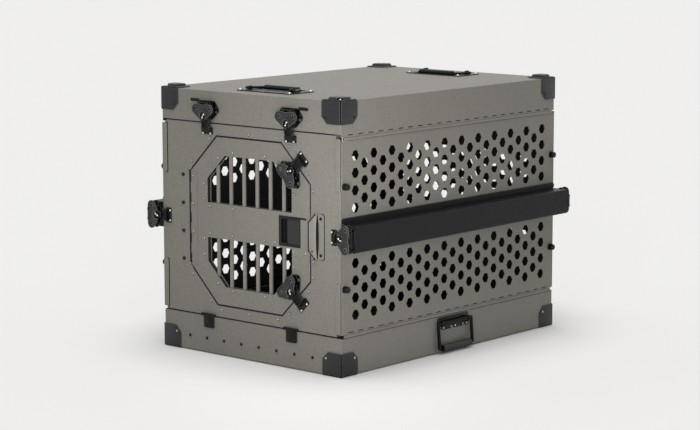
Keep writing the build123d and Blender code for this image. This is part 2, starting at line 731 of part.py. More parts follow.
with BuildPart() as door_hinge_fixed:
    # hidden leaf behind the panel, with four bolt heads in front of it
    add(box(hinge_px - 32, hinge_px, front_y + sheet + 0.1, front_y + sheet + 0.1 + leaf_t,
            door_z - hinge_half, door_z + hinge_half))
    for z0, z1 in barrels(0):
        add(rod((hinge_px, hinge_py, z0), (hinge_px, hinge_py, z1), barrel_r))
    for z0, z1 in barrels(1):
        add(box(hinge_px - barrel_r - 1.6, hinge_px + 5, front_y - 3, front_y + 8, z0 - 0.25,
                z1 + 0.25), mode=Mode.SUBTRACT)
    add(rod((hinge_px, hinge_py, door_z - hinge_half + 0.3),
            (hinge_px, hinge_py, door_z + hinge_half - 0.3), 1.2))
    for i in range(4):
        z = door_z + (i - 1.5) * bolt_pitch
        add(rod((hinge_px - 25, front_y, z), (hinge_px - 25, front_y - 2.6, z), 4.6))
save(door_hinge_fixed.part, "door_hinge_fixed")

with BuildPart() as door_hinge_leaf:
    with BuildSketch(front_plane(front_y, door_z)):
        with Locations((hinge_px + 14.5, 0)):
            RectangleRounded(19, 2 * hinge_half, 4)
    extrude(amount=leaf_t)
    for z0, z1 in barrels(1):
        add(rod((hinge_px, hinge_py, z0), (hinge_px, hinge_py, z1), barrel_r))
        add(box(hinge_px, hinge_px + 7, front_y - leaf_t, front_y - 0.05, z0, z1))
    add(rod((hinge_px, hinge_py, door_z - hinge_half - 1),
            (hinge_px, hinge_py, door_z + hinge_half + 1), 1.25), mode=Mode.SUBTRACT)
save(door_hinge_leaf.part, "door_hinge_leaf")

# ---- door ----
dw, dh = door_w - 2 * door_gap, door_h - 2 * door_gap
dcut = door_cut - door_gap * 0.6
win_z = (window_gap + window_h) / 2
bar_y = front_y + bar_back
bar_xs = [(i - (bar_count - 1) / 2) * bar_pitch for i in range(bar_count)]
bar_z0 = door_z - window_gap / 2 - window_h - 9
bar_z1 = door_z + window_gap / 2 + window_h + 9
tray_x0, tray_x1 = 104.0, 180.0
tray_z0, tray_z1 = door_z - 40, door_z + 36
doubler_x = tray_x1 - 4.0

with BuildPart() as door_skin:
    with BuildSketch(front_plane(front_y + door_return, door_z)):
        with BuildLine():
            Polyline(*octagon(dw, dh, dcut), close=True)
        make_face()
    extrude(amount=door_return)
    with BuildSketch(front_plane(front_y + door_return + 1, door_z)):
        with BuildLine():
            Polyline(*octagon(dw - 2 * sheet, dh - 2 * sheet, dcut - 0.6 * sheet), close=True)
        make_face()
    extrude(amount=door_return + 1 - sheet, mode=Mode.SUBTRACT)
    for up in (-1, 1):
        # turned-in rim of each window, then the window itself
        with BuildSketch(front_plane(front_y + 10, door_z + up * win_z)):
            with BuildLine():
                Polyline(*window(window_w + 3.2, window_h + 3.2, window_cut + 1, up), close=True)
            make_face()
        extrude(amount=9)
    for up in (-1, 1):
        with BuildSketch(front_plane(front_y + 12, door_z + up * win_z)):
            with BuildLine():
                Polyline(*window(window_w, window_h, window_cut, up), close=True)
            make_face()
        extrude(amount=14, mode=Mode.SUBTRACT)
    for x in bar_xs:
        add(rod((x, bar_y, bar_z0 - 2), (x, bar_y, bar_z1 + 2), bar_d / 2 + 0.3),
            mode=Mode.SUBTRACT)
    # relief for the hinge barrel
    add(box(-dw / 2 - 1, -dw / 2 + 2.2, front_y - 1, front_y + 7,
            door_z - hinge_half - 1, door_z + hinge_half + 1), mode=Mode.SUBTRACT)
    add(box(tray_x0 + 4, tray_x1 - 4, front_y - 1, front_y + 5, tray_z0 + 4, tray_z1 - 4),
        mode=Mode.SUBTRACT)
    add(box(dw / 2 - 4, dw / 2 + 1, front_y + 5.5, front_y + 16.5, bolt_z - 11, bolt_z + 11),
        mode=Mode.SUBTRACT)
    # doubler plate beside and below the paddle's tray
    add(prism([(window_w / 2 + 2.5, tray_z0 - 20.5), (dw / 2, tray_z0 - 20.5),
               (dw / 2, tray_z1 - 5), (doubler_x + 0.4, tray_z1 - 5),
               (doubler_x + 0.4, tray_z0 - 0.4), (window_w / 2 + 2.5, tray_z0 - 0.4)],
              front_plane(front_y), 1.5))
save(door_skin.part, "door_skin")

with BuildPart() as door_bars:
    # clamp frame behind the tubes, with the same two windows
    back = bar_y + bar_d / 2
    frame_h = 2 * (bar_z1 - door_z) + 6
    add(prism(octagon(window_w + 34, frame_h, window_cut + 12),
              front_plane(back + 1.7, door_z), 1.6))
    for up in (-1, 1):
        add(prism(window(window_w, window_h, window_cut, up, up * win_z),
                  front_plane(back + 3, door_z), 6), mode=Mode.SUBTRACT)
    for i, x in enumerate(bar_xs):
        if i < bar_count - 1:
            add(rod((x, bar_y, bar_z0), (x, bar_y, bar_z1), bar_d / 2))
        else:
            # the last tube is broken where the paddle's tray stands
            add(rod((x, bar_y, bar_z0), (x, bar_y, door_z - window_gap / 2 + 4), bar_d / 2))
            add(rod((x, bar_y, door_z + window_gap / 2 - 4), (x, bar_y, bar_z1), bar_d / 2))
save(door_bars.part, "door_bars")

# ---- paddle tray, paddle and latch bolt ----
tray_d = 11.5
with BuildPart() as paddle_tray:
    # rim, tucked behind the door's doubler on the right
    add(prism([(tray_x0, tray_z0), (doubler_x, tray_z0), (doubler_x, tray_z1 - 4.5),
               (tray_x1 + 16, tray_z1 - 4.5), (tray_x1 + 12, tray_z1), (tray_x0, tray_z1)],
              front_plane(front_y), 2))
    add(box(tray_x0 + 5, tray_x1 - 5, front_y - 0.5, front_y + tray_d, tray_z0 + 5,
            tray_z1 - 5))
    add(box(tray_x0 + 7, tray_x1 - 7, front_y - 5, front_y + tray_d - 2, tray_z0 + 7,
            tray_z1 - 7), mode=Mode.SUBTRACT)
save(paddle_tray.part, "paddle_tray")

paddle_x0, paddle_x1 = 132.0, 171.5
paddle_ax, paddle_ay = paddle_x1 - 4.0, front_y + 2.6
with BuildPart() as paddle:
    add(box(paddle_x0, paddle_x1 - 1, front_y - 0.8, front_y + 2.2, tray_z0 + 8, tray_z1 - 8))
    fillet(paddle.edges().filter_by(Axis.Y).group_by(Axis.X)[0], 5)
    add(box(paddle_x0, paddle_x0 + 2.5, front_y - 0.8, front_y + 6, tray_z0 + 14,
            tray_z1 - 14))
    add(rod((paddle_ax, paddle_ay, tray_z0 + 7.3), (paddle_ax, paddle_ay, tray_z1 - 7.3), 2.6))
save(paddle.part, "paddle")

with BuildPart() as latch_bolt:
    add(box(dw / 2 - 15.5, door_w / 2 + 9, front_y + 6.2, front_y + 15.8, bolt_z - 9.5,
            bolt_z + 9.5))
    chamfer(latch_bolt.faces().sort_by(Axis.X)[-1].edges().filter_by(Axis.Z).sort_by(Axis.Y)[-1],
            6)
save(latch_bolt.part, "latch_bolt")
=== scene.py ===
import json
import math

import bpy
from mathutils import Matrix, Vector


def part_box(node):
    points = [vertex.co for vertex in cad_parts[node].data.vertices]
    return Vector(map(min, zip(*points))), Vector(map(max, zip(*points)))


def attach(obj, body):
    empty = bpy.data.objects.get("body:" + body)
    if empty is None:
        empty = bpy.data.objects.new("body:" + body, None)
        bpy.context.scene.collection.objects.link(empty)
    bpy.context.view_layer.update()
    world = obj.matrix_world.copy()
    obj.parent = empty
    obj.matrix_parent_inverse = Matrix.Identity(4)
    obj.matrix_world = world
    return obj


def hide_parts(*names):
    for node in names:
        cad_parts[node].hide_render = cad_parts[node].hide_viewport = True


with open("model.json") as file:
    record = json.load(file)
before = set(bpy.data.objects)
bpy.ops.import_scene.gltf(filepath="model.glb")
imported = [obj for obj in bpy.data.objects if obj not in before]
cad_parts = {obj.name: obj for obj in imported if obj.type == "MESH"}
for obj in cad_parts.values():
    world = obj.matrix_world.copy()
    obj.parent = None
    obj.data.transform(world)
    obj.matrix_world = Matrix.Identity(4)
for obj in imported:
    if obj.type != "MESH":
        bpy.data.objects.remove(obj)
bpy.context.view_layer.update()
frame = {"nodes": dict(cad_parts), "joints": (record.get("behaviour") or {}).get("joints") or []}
nodes = frame["nodes"]
bpy.ops.object.select_all(action="DESELECT")

# Folded sheet shell: tray, side walls, end panels, lid and door. 2 mm aluminium sheet,
# cut and bent, then sprayed with a fine-textured warm grey powder coat and baked. The coat
# is a little thin along the bends and cut edges, and those edges are also painted paler as a
# highlight. The inside is painted dark as painted shade.
coat_grey = (0.222, 0.214, 0.189)
coat_edge_wear_highlight = (0.38, 0.37, 0.34)
coat_inside_shade = (0.030, 0.029, 0.027)
tray_skin_top = 0.0045
lid_skin_under = 0.6785


def new_material(name):
    """An empty node material, its tree and its Principled shader."""
    mat = bpy.data.materials.new(name)
    mat.use_nodes = True
    tree = mat.node_tree
    return mat, tree, tree.nodes["Principled BSDF"]


def link(tree, out, into):
    tree.links.new(out, into)


def noise(tree, scale, detail=2.0, rough=0.5, stretch=None):
    """Noise read from the piece's own coordinates, which are metres."""
    coord = tree.nodes.new("ShaderNodeTexCoord")
    tex = tree.nodes.new("ShaderNodeTexNoise")
    tex.inputs["Scale"].default_value = scale
    tex.inputs["Detail"].default_value = detail
    tex.inputs["Roughness"].default_value = rough
    if stretch:
        mapping = tree.nodes.new("ShaderNodeMapping")
        mapping.inputs["Scale"].default_value = stretch
        link(tree, coord.outputs["Object"], mapping.inputs["Vector"])
        link(tree, mapping.outputs["Vector"], tex.inputs["Vector"])
    else:
        link(tree, coord.outputs["Object"], tex.inputs["Vector"])
    return tex.outputs["Fac"]


def ramp(tree, value, low, high, low_out=0.0, high_out=1.0):
    """Linear map of a value between two limits, clamped."""
    node = tree.nodes.new("ShaderNodeMapRange")
    node.inputs["From Min"].default_value = low
    node.inputs["From Max"].default_value = high
    node.inputs["To Min"].default_value = low_out
    node.inputs["To Max"].default_value = high_out
    link(tree, value, node.inputs["Value"])
    return node.outputs["Result"]


def blend_colour(tree, fac, a, b, mode="MIX"):
    """Mix of two colours; each is a socket or an RGB tuple."""
    node = tree.nodes.new("ShaderNodeMix")
    node.data_type = "RGBA"
    node.blend_type = mode
    for value, socket in ((fac, node.inputs[0]), (a, node.inputs[6]), (b, node.inputs[7])):
        if isinstance(value, (int, float)):
            socket.default_value = value
        elif isinstance(value, tuple):
            socket.default_value = (*value, 1.0)
        else:
            link(tree, value, socket)
    return node.outputs[2]


def calc(tree, kind, a, b=0.0):
    node = tree.nodes.new("ShaderNodeMath")
    node.operation = kind
    for value, socket in ((a, node.inputs[0]), (b, node.inputs[1])):
        if isinstance(value, (int, float)):
            socket.default_value = value
        else:
            link(tree, value, socket)
    return node.outputs[0]


def edge_mask(tree, radius):
    """0 on flats and up to 1 where a rounded edge turns the surface."""
    soft = tree.nodes.new("ShaderNodeBevel")
    soft.samples = 4
    soft.inputs["Radius"].default_value = radius
    geo = tree.nodes.new("ShaderNodeNewGeometry")
    dot = tree.nodes.new("ShaderNodeVectorMath")
    dot.operation = "DOT_PRODUCT"
    link(tree, soft.outputs["Normal"], dot.inputs[0])
    link(tree, geo.outputs["Normal"], dot.inputs[1])
    return ramp(tree, dot.outputs["Value"], 0.97, 0.78)


def rounded_bump(tree, shader, height, strength, distance, radius):
    """Edges rounded by a given radius, with a fine texture over them."""
    soft = tree.nodes.new("ShaderNodeBevel")
    soft.samples = 6
    soft.inputs["Radius"].default_value = radius
    bump = tree.nodes.new("ShaderNodeBump")
    bump.inputs["Strength"].default_value = strength
    bump.inputs["Distance"].default_value = distance
    link(tree, height, bump.inputs["Height"])
    link(tree, soft.outputs["Normal"], bump.inputs["Normal"])
    link(tree, bump.outputs["Normal"], shader.inputs["Normal"])


def powder_coat(name, grey, edge, painted_shade=None, shade_within=None, shade_past_x=None):
    """Textured coat, paler on worn edges, which also carry a painted highlight. Painted shade
    makes it dark within the given half sizes, and farther than the given x from the middle."""
    mat, tree, shader = new_material(name)
    cloud = ramp(tree, noise(tree, 5.0, 3.0), 0.3, 0.7, 0.965, 1.035)
    grain = ramp(tree, noise(tree, 360.0, 2.0), 0.3, 0.7, 0.86, 1.14)
    shade = calc(tree, "MULTIPLY", cloud, grain)
    # Pale edges: worn coat, and also a painted highlight along every rounded edge.
    edge_wear_highlight = calc(tree, "MULTIPLY", edge_mask(tree, 0.0018),
               ramp(tree, noise(tree, 45.0, 4.0), 0.25, 0.60))
    colour = blend_colour(tree, edge_wear_highlight, grey, edge)
    tint = tree.nodes.new("ShaderNodeCombineColor")
    for channel in ("Red", "Green", "Blue"):
        link(tree, shade, tint.inputs[channel])
    colour = blend_colour(tree, 1.0, colour, tint.outputs["Color"], "MULTIPLY")
    # Painted shade: faces within the given half sizes and above the tray skin take the dark
    # colour.
    if painted_shade:
        coord = tree.nodes.new("ShaderNodeTexCoord")
        split = tree.nodes.new("ShaderNodeSeparateXYZ")
        link(tree, coord.outputs["Object"], split.inputs[0])
        inner = 1.0
        for axis, limit in zip("XYZ", shade_within):
            size = calc(tree, "ABSOLUTE", split.outputs[axis])
            inner = calc(tree, "MULTIPLY", calc(tree, "LESS_THAN", size, limit), inner)
        above_floor = calc(tree, "GREATER_THAN", split.outputs["Z"], tray_skin_top)
        inner = calc(tree, "MULTIPLY", above_floor, inner)
        if shade_past_x:
            side = calc(tree, "ABSOLUTE", split.outputs["X"])
            inner = calc(tree, "MAXIMUM", inner, calc(tree, "GREATER_THAN", side, shade_past_x))
        colour = blend_colour(tree, inner, colour, painted_shade)
    link(tree, colour, shader.inputs["Base Color"])
    shader.inputs["Metallic"].default_value = 0.0
    link(tree, ramp(tree, noise(tree, 90.0, 3.0), 0.3, 0.7, 0.44, 0.54),
         shader.inputs["Roughness"])
    shader.inputs["Specular IOR Level"].default_value = 0.14
    rounded_bump(tree, shader, noise(tree, 900.0, 2.0, 0.6), 0.22, 0.0006, 0.0016)
    return mat


def paint(mat, *names):
    for name in names:
        mesh = nodes[name].data
        mesh.materials.clear()
        mesh.materials.append(mat)


shell_coat = powder_coat("powder_coat_shell", coat_grey, coat_edge_wear_highlight, coat_inside_shade,
                         (0.3060, 0.4360, lid_skin_under))
panel_coat = powder_coat("powder_coat_panels", coat_grey, coat_edge_wear_highlight, coat_inside_shade,
                         (0.2880, 0.4368, lid_skin_under))
paint(shell_coat, "base_tray", "lid_shell", "base_side_hinges", "lid_side_hinges")
paint(panel_coat, "front_panel", "rear_panel")

# Side walls: an upper and a lower sheet on each side, hinged to each other and to the tray
# and the lid. Their ends are folded round the corners, and the fold's outer face is kept
# clear of the painted inside shade.
wall_coat = powder_coat("powder_coat_walls", coat_grey, coat_edge_wear_highlight, coat_inside_shade,
                        (0.3060, 0.4330, lid_skin_under))
paint(wall_coat, "right_lower_wall", "left_lower_wall", "right_upper_wall", "left_upper_wall")

# Door: a sheet skin with two window openings, a returned edge all round, and round tubes
# welded behind the windows. The returns and the back of the skin are painted dark as
# painted shade.
door_coat = powder_coat("powder_coat_door", coat_grey, coat_edge_wear_highlight, coat_inside_shade,
                        (0.2200, 0.4368, lid_skin_under))
tube_coat = powder_coat("powder_coat_tubes", (0.240, 0.231, 0.203), coat_edge_wear_highlight)
# Hinge leaf knuckles in the door gap, past x 0.2046, are painted near black as painted shade.
leaf_coat_shaded_knuckles = powder_coat("powder_coat_hinge_leaf_shaded_knuckles", coat_grey, coat_edge_wear_highlight, (0.012, 0.012, 0.012),
                        (0.0, 0.0, 0.0), 0.2046)
paint(door_coat, "door_skin")
paint(tube_coat, "door_bars", "door_strike")
paint(leaf_coat_shaded_knuckles, "door_hinge_leaf")

# Black hardware: corner guards, latch cases, keepers, clips and handles. Pressed steel,
# zinc plated and sprayed semi-gloss black, rubbed a little at the corners by handling. The
# rubbed edges are painted paler than wear alone would make them, as a painted highlight.
black_paint = (0.0070, 0.0070, 0.0078)


def black_coat(name, colour, edge_wear_highlight_colour, rough_low, rough_high, gloss, radius=0.0012, wear_highlight_cut=0.42,
               grain=700.0):
    """Sprayed black with a little dust, paler where an edge is worn and as a painted highlight.
    """
    mat, tree, shader = new_material(name)
    edge_wear_highlight = calc(tree, "MULTIPLY", edge_mask(tree, radius * 1.2),
               ramp(tree, noise(tree, 110.0, 4.0, 0.6), wear_highlight_cut, wear_highlight_cut + 0.2))
    dust = ramp(tree, noise(tree, 14.0, 4.0, 0.6), 0.35, 0.75, 0.0, 0.25)
    base = blend_colour(tree, dust, colour, tuple(c * 1.9 for c in colour))
    link(tree, blend_colour(tree, edge_wear_highlight, base, edge_wear_highlight_colour), shader.inputs["Base Color"])
    link(tree, ramp(tree, noise(tree, 45.0, 4.0), 0.3, 0.7, rough_low, rough_high),
         shader.inputs["Roughness"])
    shader.inputs["Specular IOR Level"].default_value = gloss
    rounded_bump(tree, shader, noise(tree, grain, 2.0, 0.6), 0.18, 0.0004, radius)
    return mat


hardware_black = black_coat("black_hardware", black_paint, (0.10, 0.10, 0.10), 0.24, 0.40, 0.20,
                            0.0009, 0.36)
paddle_black = black_coat("black_paddle", (0.015, 0.015, 0.016), (0.12, 0.12, 0.12), 0.34, 0.46,
                          0.34)
paint(hardware_black, "lid_latch_cases", "front_keepers", "rear_keepers", "door_latch_cases",
      "rear_lid_latches", "right_bar_latch_cases", "left_bar_latch_cases", "base_panel_clips",
      "base_screws", "base_handle_plates", "lid_handle_plates", "door_hinge_fixed",
      "latch_bolt", "right_carry_bail", "left_carry_bail", "front_lid_bail", "rear_lid_bail",
      *(n for n in nodes if n.endswith(("_wing", "_hook"))))
# The paddle tray's rims are painted pale along their edges as a painted highlight.
tray_black = black_coat("black_paddle_tray", (0.0060, 0.0060, 0.0065), (0.26, 0.26, 0.255), 0.26,
                        0.40, 0.20, 0.0006, 0.16)
paint(paddle_black, "paddle")
paint(tray_black, "paddle_tray")

# Corner guards: three-sided caps of 3 mm steel over every corner of the tray and the lid.
# Their bends and rims show a soft grey line: worn coat, and a painted highlight.
guard_black = black_coat("black_corner_guards", (0.0150, 0.0154, 0.0163), (0.300, 0.300, 0.296),
                         0.34, 0.46, 0.34, 0.0009, 0.12, 500.0)
paint(guard_black, "base_corner_guards", "lid_corner_guards")

# Lock bars: a deep channel of 2 mm sheet along each side, with a welded rail on the wall
# above it. Both are coated a finely textured, nearly matt black.
bar_black = black_coat("black_bar_coat", (0.0036, 0.0036, 0.0048), (0.060, 0.060, 0.063), 0.36,
                       0.48, 0.18, 0.0014, 0.40, 900.0)
paint(bar_black, "right_lock_bar", "left_lock_bar", "right_bar_rail", "left_bar_rail")

# Bumpers: black rubber buttons screwed to the wall ends, so that the crate can be stood
# on its side without marking the coat.
bumper_rubber = black_coat("bumper_rubber", (0.0030, 0.0030, 0.0032), (0.03, 0.03, 0.03), 0.16,
                           0.26, 0.22, 0.0020, 0.42, 300.0)
paint(bumper_rubber, "right_lower_bumpers", "left_lower_bumpers", "right_upper_bumpers",
      "left_upper_bumpers")

# Rivets: aluminium dome-head blind rivets, 6 mm across, that hold the stiffening frames
# behind the end panels and the door.
rivet_r, rivet_high = 0.0031, 0.0022
shade_ring_r, shade_ring_high = 0.0039, 0.0003
front_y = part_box("front_panel")[0].y
rear_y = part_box("rear_panel")[1].y


def metal(name, colour, rough_low, rough_high, scratches=500.0):
    """Bare metal, a little uneven, with fine scratches."""
    mat, tree, shader = new_material(name)
    link(tree, blend_colour(tree, ramp(tree, noise(tree, 60.0, 4.0), 0.3, 0.7),
                            colour, tuple(c * 0.72 for c in colour)),
         shader.inputs["Base Color"])
    shader.inputs["Metallic"].default_value = 1.0
    link(tree, ramp(tree, noise(tree, 160.0, 4.0), 0.3, 0.7, rough_low, rough_high),
         shader.inputs["Roughness"])
    rounded_bump(tree, shader, noise(tree, scratches, 3.0, 0.6, (1.0, 1.0, 0.15)), 0.15,
                 0.0003, 0.0004)
    return mat


def only(obj):
    """Select one object and make it the one that operators act on."""
    bpy.ops.object.select_all(action="DESELECT")
    obj.select_set(True)
    bpy.context.view_layer.objects.active = obj


def pick(obj, test):
    """Select the faces whose centre and normal pass a test, and open edit mode."""
    only(obj)
    bpy.ops.object.mode_set(mode="EDIT")
    bpy.ops.mesh.select_mode(type="FACE")
    bpy.ops.mesh.select_all(action="DESELECT")
    bpy.ops.object.mode_set(mode="OBJECT")
    for face in obj.data.polygons:
        face.select = test(face.center, face.normal)
    bpy.ops.object.mode_set(mode="EDIT")


def done():
    bpy.ops.object.mode_set(mode="OBJECT")


def join(name, parts):
    """Several objects made one, under a new name."""
    only(parts[0])
    for part in parts[1:]:
        part.select_set(True)
    if len(parts) > 1:
        bpy.ops.object.join()
    parts[0].name = name
    parts[0].data.name = name
    return parts[0]


def copy_to(obj, place):
    """A copy with its own mesh, moved and turned by a matrix that then goes into the mesh."""
    only(obj)
    bpy.ops.object.duplicate(linked=False)
    new = bpy.context.object
    new.matrix_world = place
    bpy.ops.object.transform_apply(location=True, rotation=True, scale=True)
    return new


def remove(*objs):
    bpy.ops.object.select_all(action="DESELECT")
    for obj in objs:
        obj.select_set(True)
    bpy.ops.object.delete()


def bevelled(obj, width, segments=2, angle=35):
    only(obj)
    bpy.ops.object.modifier_add(type="BEVEL")
    mod = obj.modifiers[-1]
    mod.width, mod.segments = width, segments
    mod.limit_method, mod.angle_limit = "ANGLE", math.radians(angle)
    mod.harden_normals = False
    bpy.ops.object.modifier_apply(modifier=mod.name)
    bpy.ops.object.shade_smooth_by_angle(angle=math.radians(40))


def ride(obj, body, mat):
    """Give a finished piece its material and the body that it moves with."""
    obj.data.materials.clear()
    obj.data.materials.append(mat)
    bpy.ops.object.select_all(action="DESELECT")
    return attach(obj, body)


def facing(x, y, z, out, up=(0, 0, 1)):
    """Matrix whose Z points out of a surface and whose Y points up."""
    out, up = Vector(out), Vector(up)
    across = up.cross(out)
    return Matrix.Translation((x, y, z)) @ Matrix((across, up, out)).transposed().to_4x4()


rivet_metal = metal("rivet_aluminium", (0.42, 0.41, 0.385), 0.30, 0.45)
bpy.ops.mesh.primitive_uv_sphere_add(segments=14, ring_count=8, radius=rivet_r)
rivet = bpy.context.object
bpy.ops.object.mode_set(mode="EDIT")
bpy.ops.mesh.bisect(plane_co=(0, 0, 0), plane_no=(0, 0, 1), clear_inner=True, use_fill=True)
bpy.ops.mesh.select_all(action="SELECT")
bpy.ops.transform.resize(value=(1.0, 1.0, rivet_high / rivet_r))
done()
only(rivet)
bpy.ops.object.shade_smooth_by_angle(angle=math.radians(50))

# A thin near-black ring round each rivet's foot is painted shade.
bpy.ops.mesh.primitive_cone_add(vertices=14, radius1=shade_ring_r, radius2=shade_ring_r - 0.0006,
                                depth=shade_ring_high, location=(0, 0, shade_ring_high / 2),
                                end_fill_type="NOTHING")
bpy.ops.object.transform_apply(location=True)
shade_ring = bpy.context.object
shade_ring_black = black_coat("rivet_shade_ring", (0.020, 0.020, 0.019), (0.03, 0.03, 0.03), 0.5, 0.6,
                          0.2)


def rivet_rows(name, points, y, out, body):
    """Rivets at the given x and z on an upright face, each in a thin dark ring of painted shade.
    """
    spots = [facing(x, y, z, out) for x, z in points]
    ride(join(name + "_shade_ring", [copy_to(shade_ring, spot) for spot in spots]), body,
         shade_ring_black)
    return ride(join(name, [copy_to(rivet, spot) for spot in spots]), body, rivet_metal)


door_mid = (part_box("door_skin")[0].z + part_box("door_skin")[1].z) / 2
across = (-0.098, 0.0, 0.098)
frame_top, frame_low = door_mid + 0.228, door_mid - 0.229
frame_rivets = [(x, frame_top) for x in across] + [(x, frame_low) for x in across]
frame_rivets += [(s * 0.136, frame_top - 0.018) for s in (-1, 1)]
frame_rivets += [(s * 0.201, frame_top - 0.080) for s in (-1, 1)]
frame_rivets += [(s * 0.136, frame_low + 0.019) for s in (-1, 1)]
frame_rivets += [(s * 0.200, frame_low + 0.083) for s in (-1, 1)]
frame_rivets += [(0.217, door_mid + dz) for dz in (0.106, -0.069, -0.108)]
rivet_rows("front_panel_rivets", frame_rivets, front_y, (0, -1, 0), "front_panel")
rear_rivets = [(x, z) for x in (-0.245, *across, 0.245) for z in (frame_top, frame_low)]
rear_rivets += [(s * 0.281, door_mid + dz) for s in (-1, 1) for dz in (-0.18, -0.09, 0.09, 0.18)]
rivet_rows("rear_panel_rivets", rear_rivets, rear_y, (0, 1, 0), "rear_panel")
door_rivets = [(x, door_mid + dz) for x in (-0.055, 0.055) for dz in (0.178, -0.176)]
door_rivets += [(x, door_mid + dz) for x, dz in (
    (-0.107, 0.162), (-0.109, -0.161), (-0.157, 0.093), (-0.158, 0.053), (-0.158, -0.050),
    (-0.158, -0.090), (0.154, 0.092), (0.153, -0.090), (0.150, -0.052), (0.192, -0.052))]
door_rivets += [(x, door_mid + 0.036) for x in (-0.137, -0.056)]
door_rivets += [(x, door_mid - 0.034) for x in (-0.137, -0.057, 0.053, 0.089)]
rivet_rows("door_rivets", door_rivets, front_y, (0, -1, 0), "door")
leaf_proud = 0.0015
hinge_rivets = [(-0.195, door_mid + dz) for dz in (0.109, 0.037, -0.035, -0.107)]
rivet_rows("door_hinge_rivets", hinge_rivets, front_y - leaf_proud, (0, -1, 0), "door")

# End straps: four narrow steel straps at each end cover the folds of the side walls beside
# the panel, spot welded to it. Near-black strips along the straps' inner edges and in the
# joint between the straps are painted shade.
def disc(x, y, r, z0, z1, sides=28):
    bpy.ops.mesh.primitive_cylinder_add(vertices=sides, radius=r, depth=z1 - z0,
                                        location=(x, y, (z0 + z1) / 2))
    bpy.ops.object.transform_apply(location=True)
    return bpy.context.object


def block(x0, x1, y0, y1, z0, z1):
    bpy.ops.mesh.primitive_cube_add(size=1.0, location=((x0 + x1) / 2, (y0 + y1) / 2,
                                                        (z0 + z1) / 2))
    bpy.ops.transform.resize(value=(x1 - x0, y1 - y0, z1 - z0))
    bpy.ops.object.transform_apply(location=True, scale=True)
    return bpy.context.object


def hull(name, discs):
    """Flat plate that wraps round several discs."""
    plate = join(name, discs)
    only(plate)
    bpy.ops.object.mode_set(mode="EDIT")
    bpy.ops.mesh.select_all(action="SELECT")
    bpy.ops.mesh.convex_hull(join_triangles=True, face_threshold=0.02, shape_threshold=0.02)
    bpy.ops.mesh.select_all(action="SELECT")
    bpy.ops.mesh.dissolve_limited(angle_limit=0.02)
    done()
    return plate


wall_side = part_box("base_tray")[1].x
strap_in, strap_out, strap_t = 0.2900, wall_side - 0.0012, 0.0020
wall_low, wall_high = 0.107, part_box("front_panel")[1].z - 0.0095
ear_low, ear_high = 0.2335, 0.4610
strap_coat = powder_coat("powder_coat_straps", coat_grey, coat_edge_wear_highlight)
painted_shade_strip = black_coat("black_painted_shade_strip", (0.006, 0.006, 0.006), (0.02, 0.02, 0.02), 0.5,
                           0.6, 0.2)


def end_straps(end, y, out, body):
    """Upper and lower strap at both sides of an end panel, and painted shade strips beside them.
    """
    corner_in, corner_out = 0.0045, 0.0015
    straps, shade_strips = [], []
    for s in (-1, 1):
        for z0, z1 in ((wall_low, ear_low), (ear_high, wall_high)):
            strap = hull("strap", [disc(s * (strap_in + corner_in), z, corner_in, 0, strap_t)
                                   for z in (z0 + corner_in, z1 - corner_in)]
                         + [disc(s * (strap_out - corner_out), z, corner_out, 0, strap_t, 12)
                            for z in (z0 + corner_out, z1 - corner_out)])
            bevelled(strap, 0.0007)
            straps.append(strap)
            if s * out > 0:
                shade_strips.append(hull("edge", [disc(s * (strap_in + 0.0022), z, corner_in, 0, 0.0006)
                                            for z in (z0 + 0.0026, z1 - 0.0026)]))
        joint_x = s * (wall_side - 0.0015)
        shade_strips.append(block(joint_x - 0.0013, joint_x + 0.0013, ear_low, ear_high, -0.0048,
                            -0.0019))
    place = facing(0, y, 0, (0, out, 0))
    for name, parts, mat in (("straps", straps, strap_coat),
                             ("painted_shade_strip", shade_strips, painted_shade_strip)):
        piece = join(f"{end}_end_{name}", parts)
        new = copy_to(piece, place)
        remove(piece)
        new.name = f"{end}_end_{name}"
        ride(new, body, mat)


end_straps("front", front_y, -1, "front_panel")
end_straps("rear", rear_y, 1, "rear_panel")

# Latches: a surface catch with a half-turn wing. A stamped base plate with a lug each
# side carries a housing; the wing turns a cam that draws a flat strap off its keeper. Steel,
# zinc plated, blackened and lacquered, held by round-head rivets.
wing_z = 0.0150
wing_t = 0.0035
latch_parts = {"lid": (0.084, 0.0390, 0.0295), "bar": (0.072, 0.0375, 0.0220),
               "door": (0.084, 0.0340, 0.0350)}
joint_at = {j["name"]: j for j in frame["joints"]}
zinc = metal("bright_zinc", (0.66, 0.66, 0.65), 0.16, 0.28)
# The wing's and the latch's edges are painted pale: a little wear, and a painted highlight.
wing_black = black_coat("black_nickel_wing", (0.016, 0.016, 0.0153), (0.40, 0.40, 0.39), 0.20,
                        0.34, 0.34, 0.0010, 0.12)
latch_black = black_coat("black_lacquer_latch", (0.0030, 0.0030, 0.0032), (0.24, 0.24, 0.235),
                         0.14, 0.26, 0.16, 0.0009, 0.16)


def cut(obj, *tools):
    """Take the tools' shapes out of a piece."""
    for tool in tools:
        only(obj)
        bpy.ops.object.modifier_add(type="BOOLEAN")
        mod = obj.modifiers[-1]
        mod.operation, mod.solver, mod.object = "DIFFERENCE", "EXACT", tool
        bpy.ops.object.modifier_apply(modifier=mod.name)
    remove(*tools)


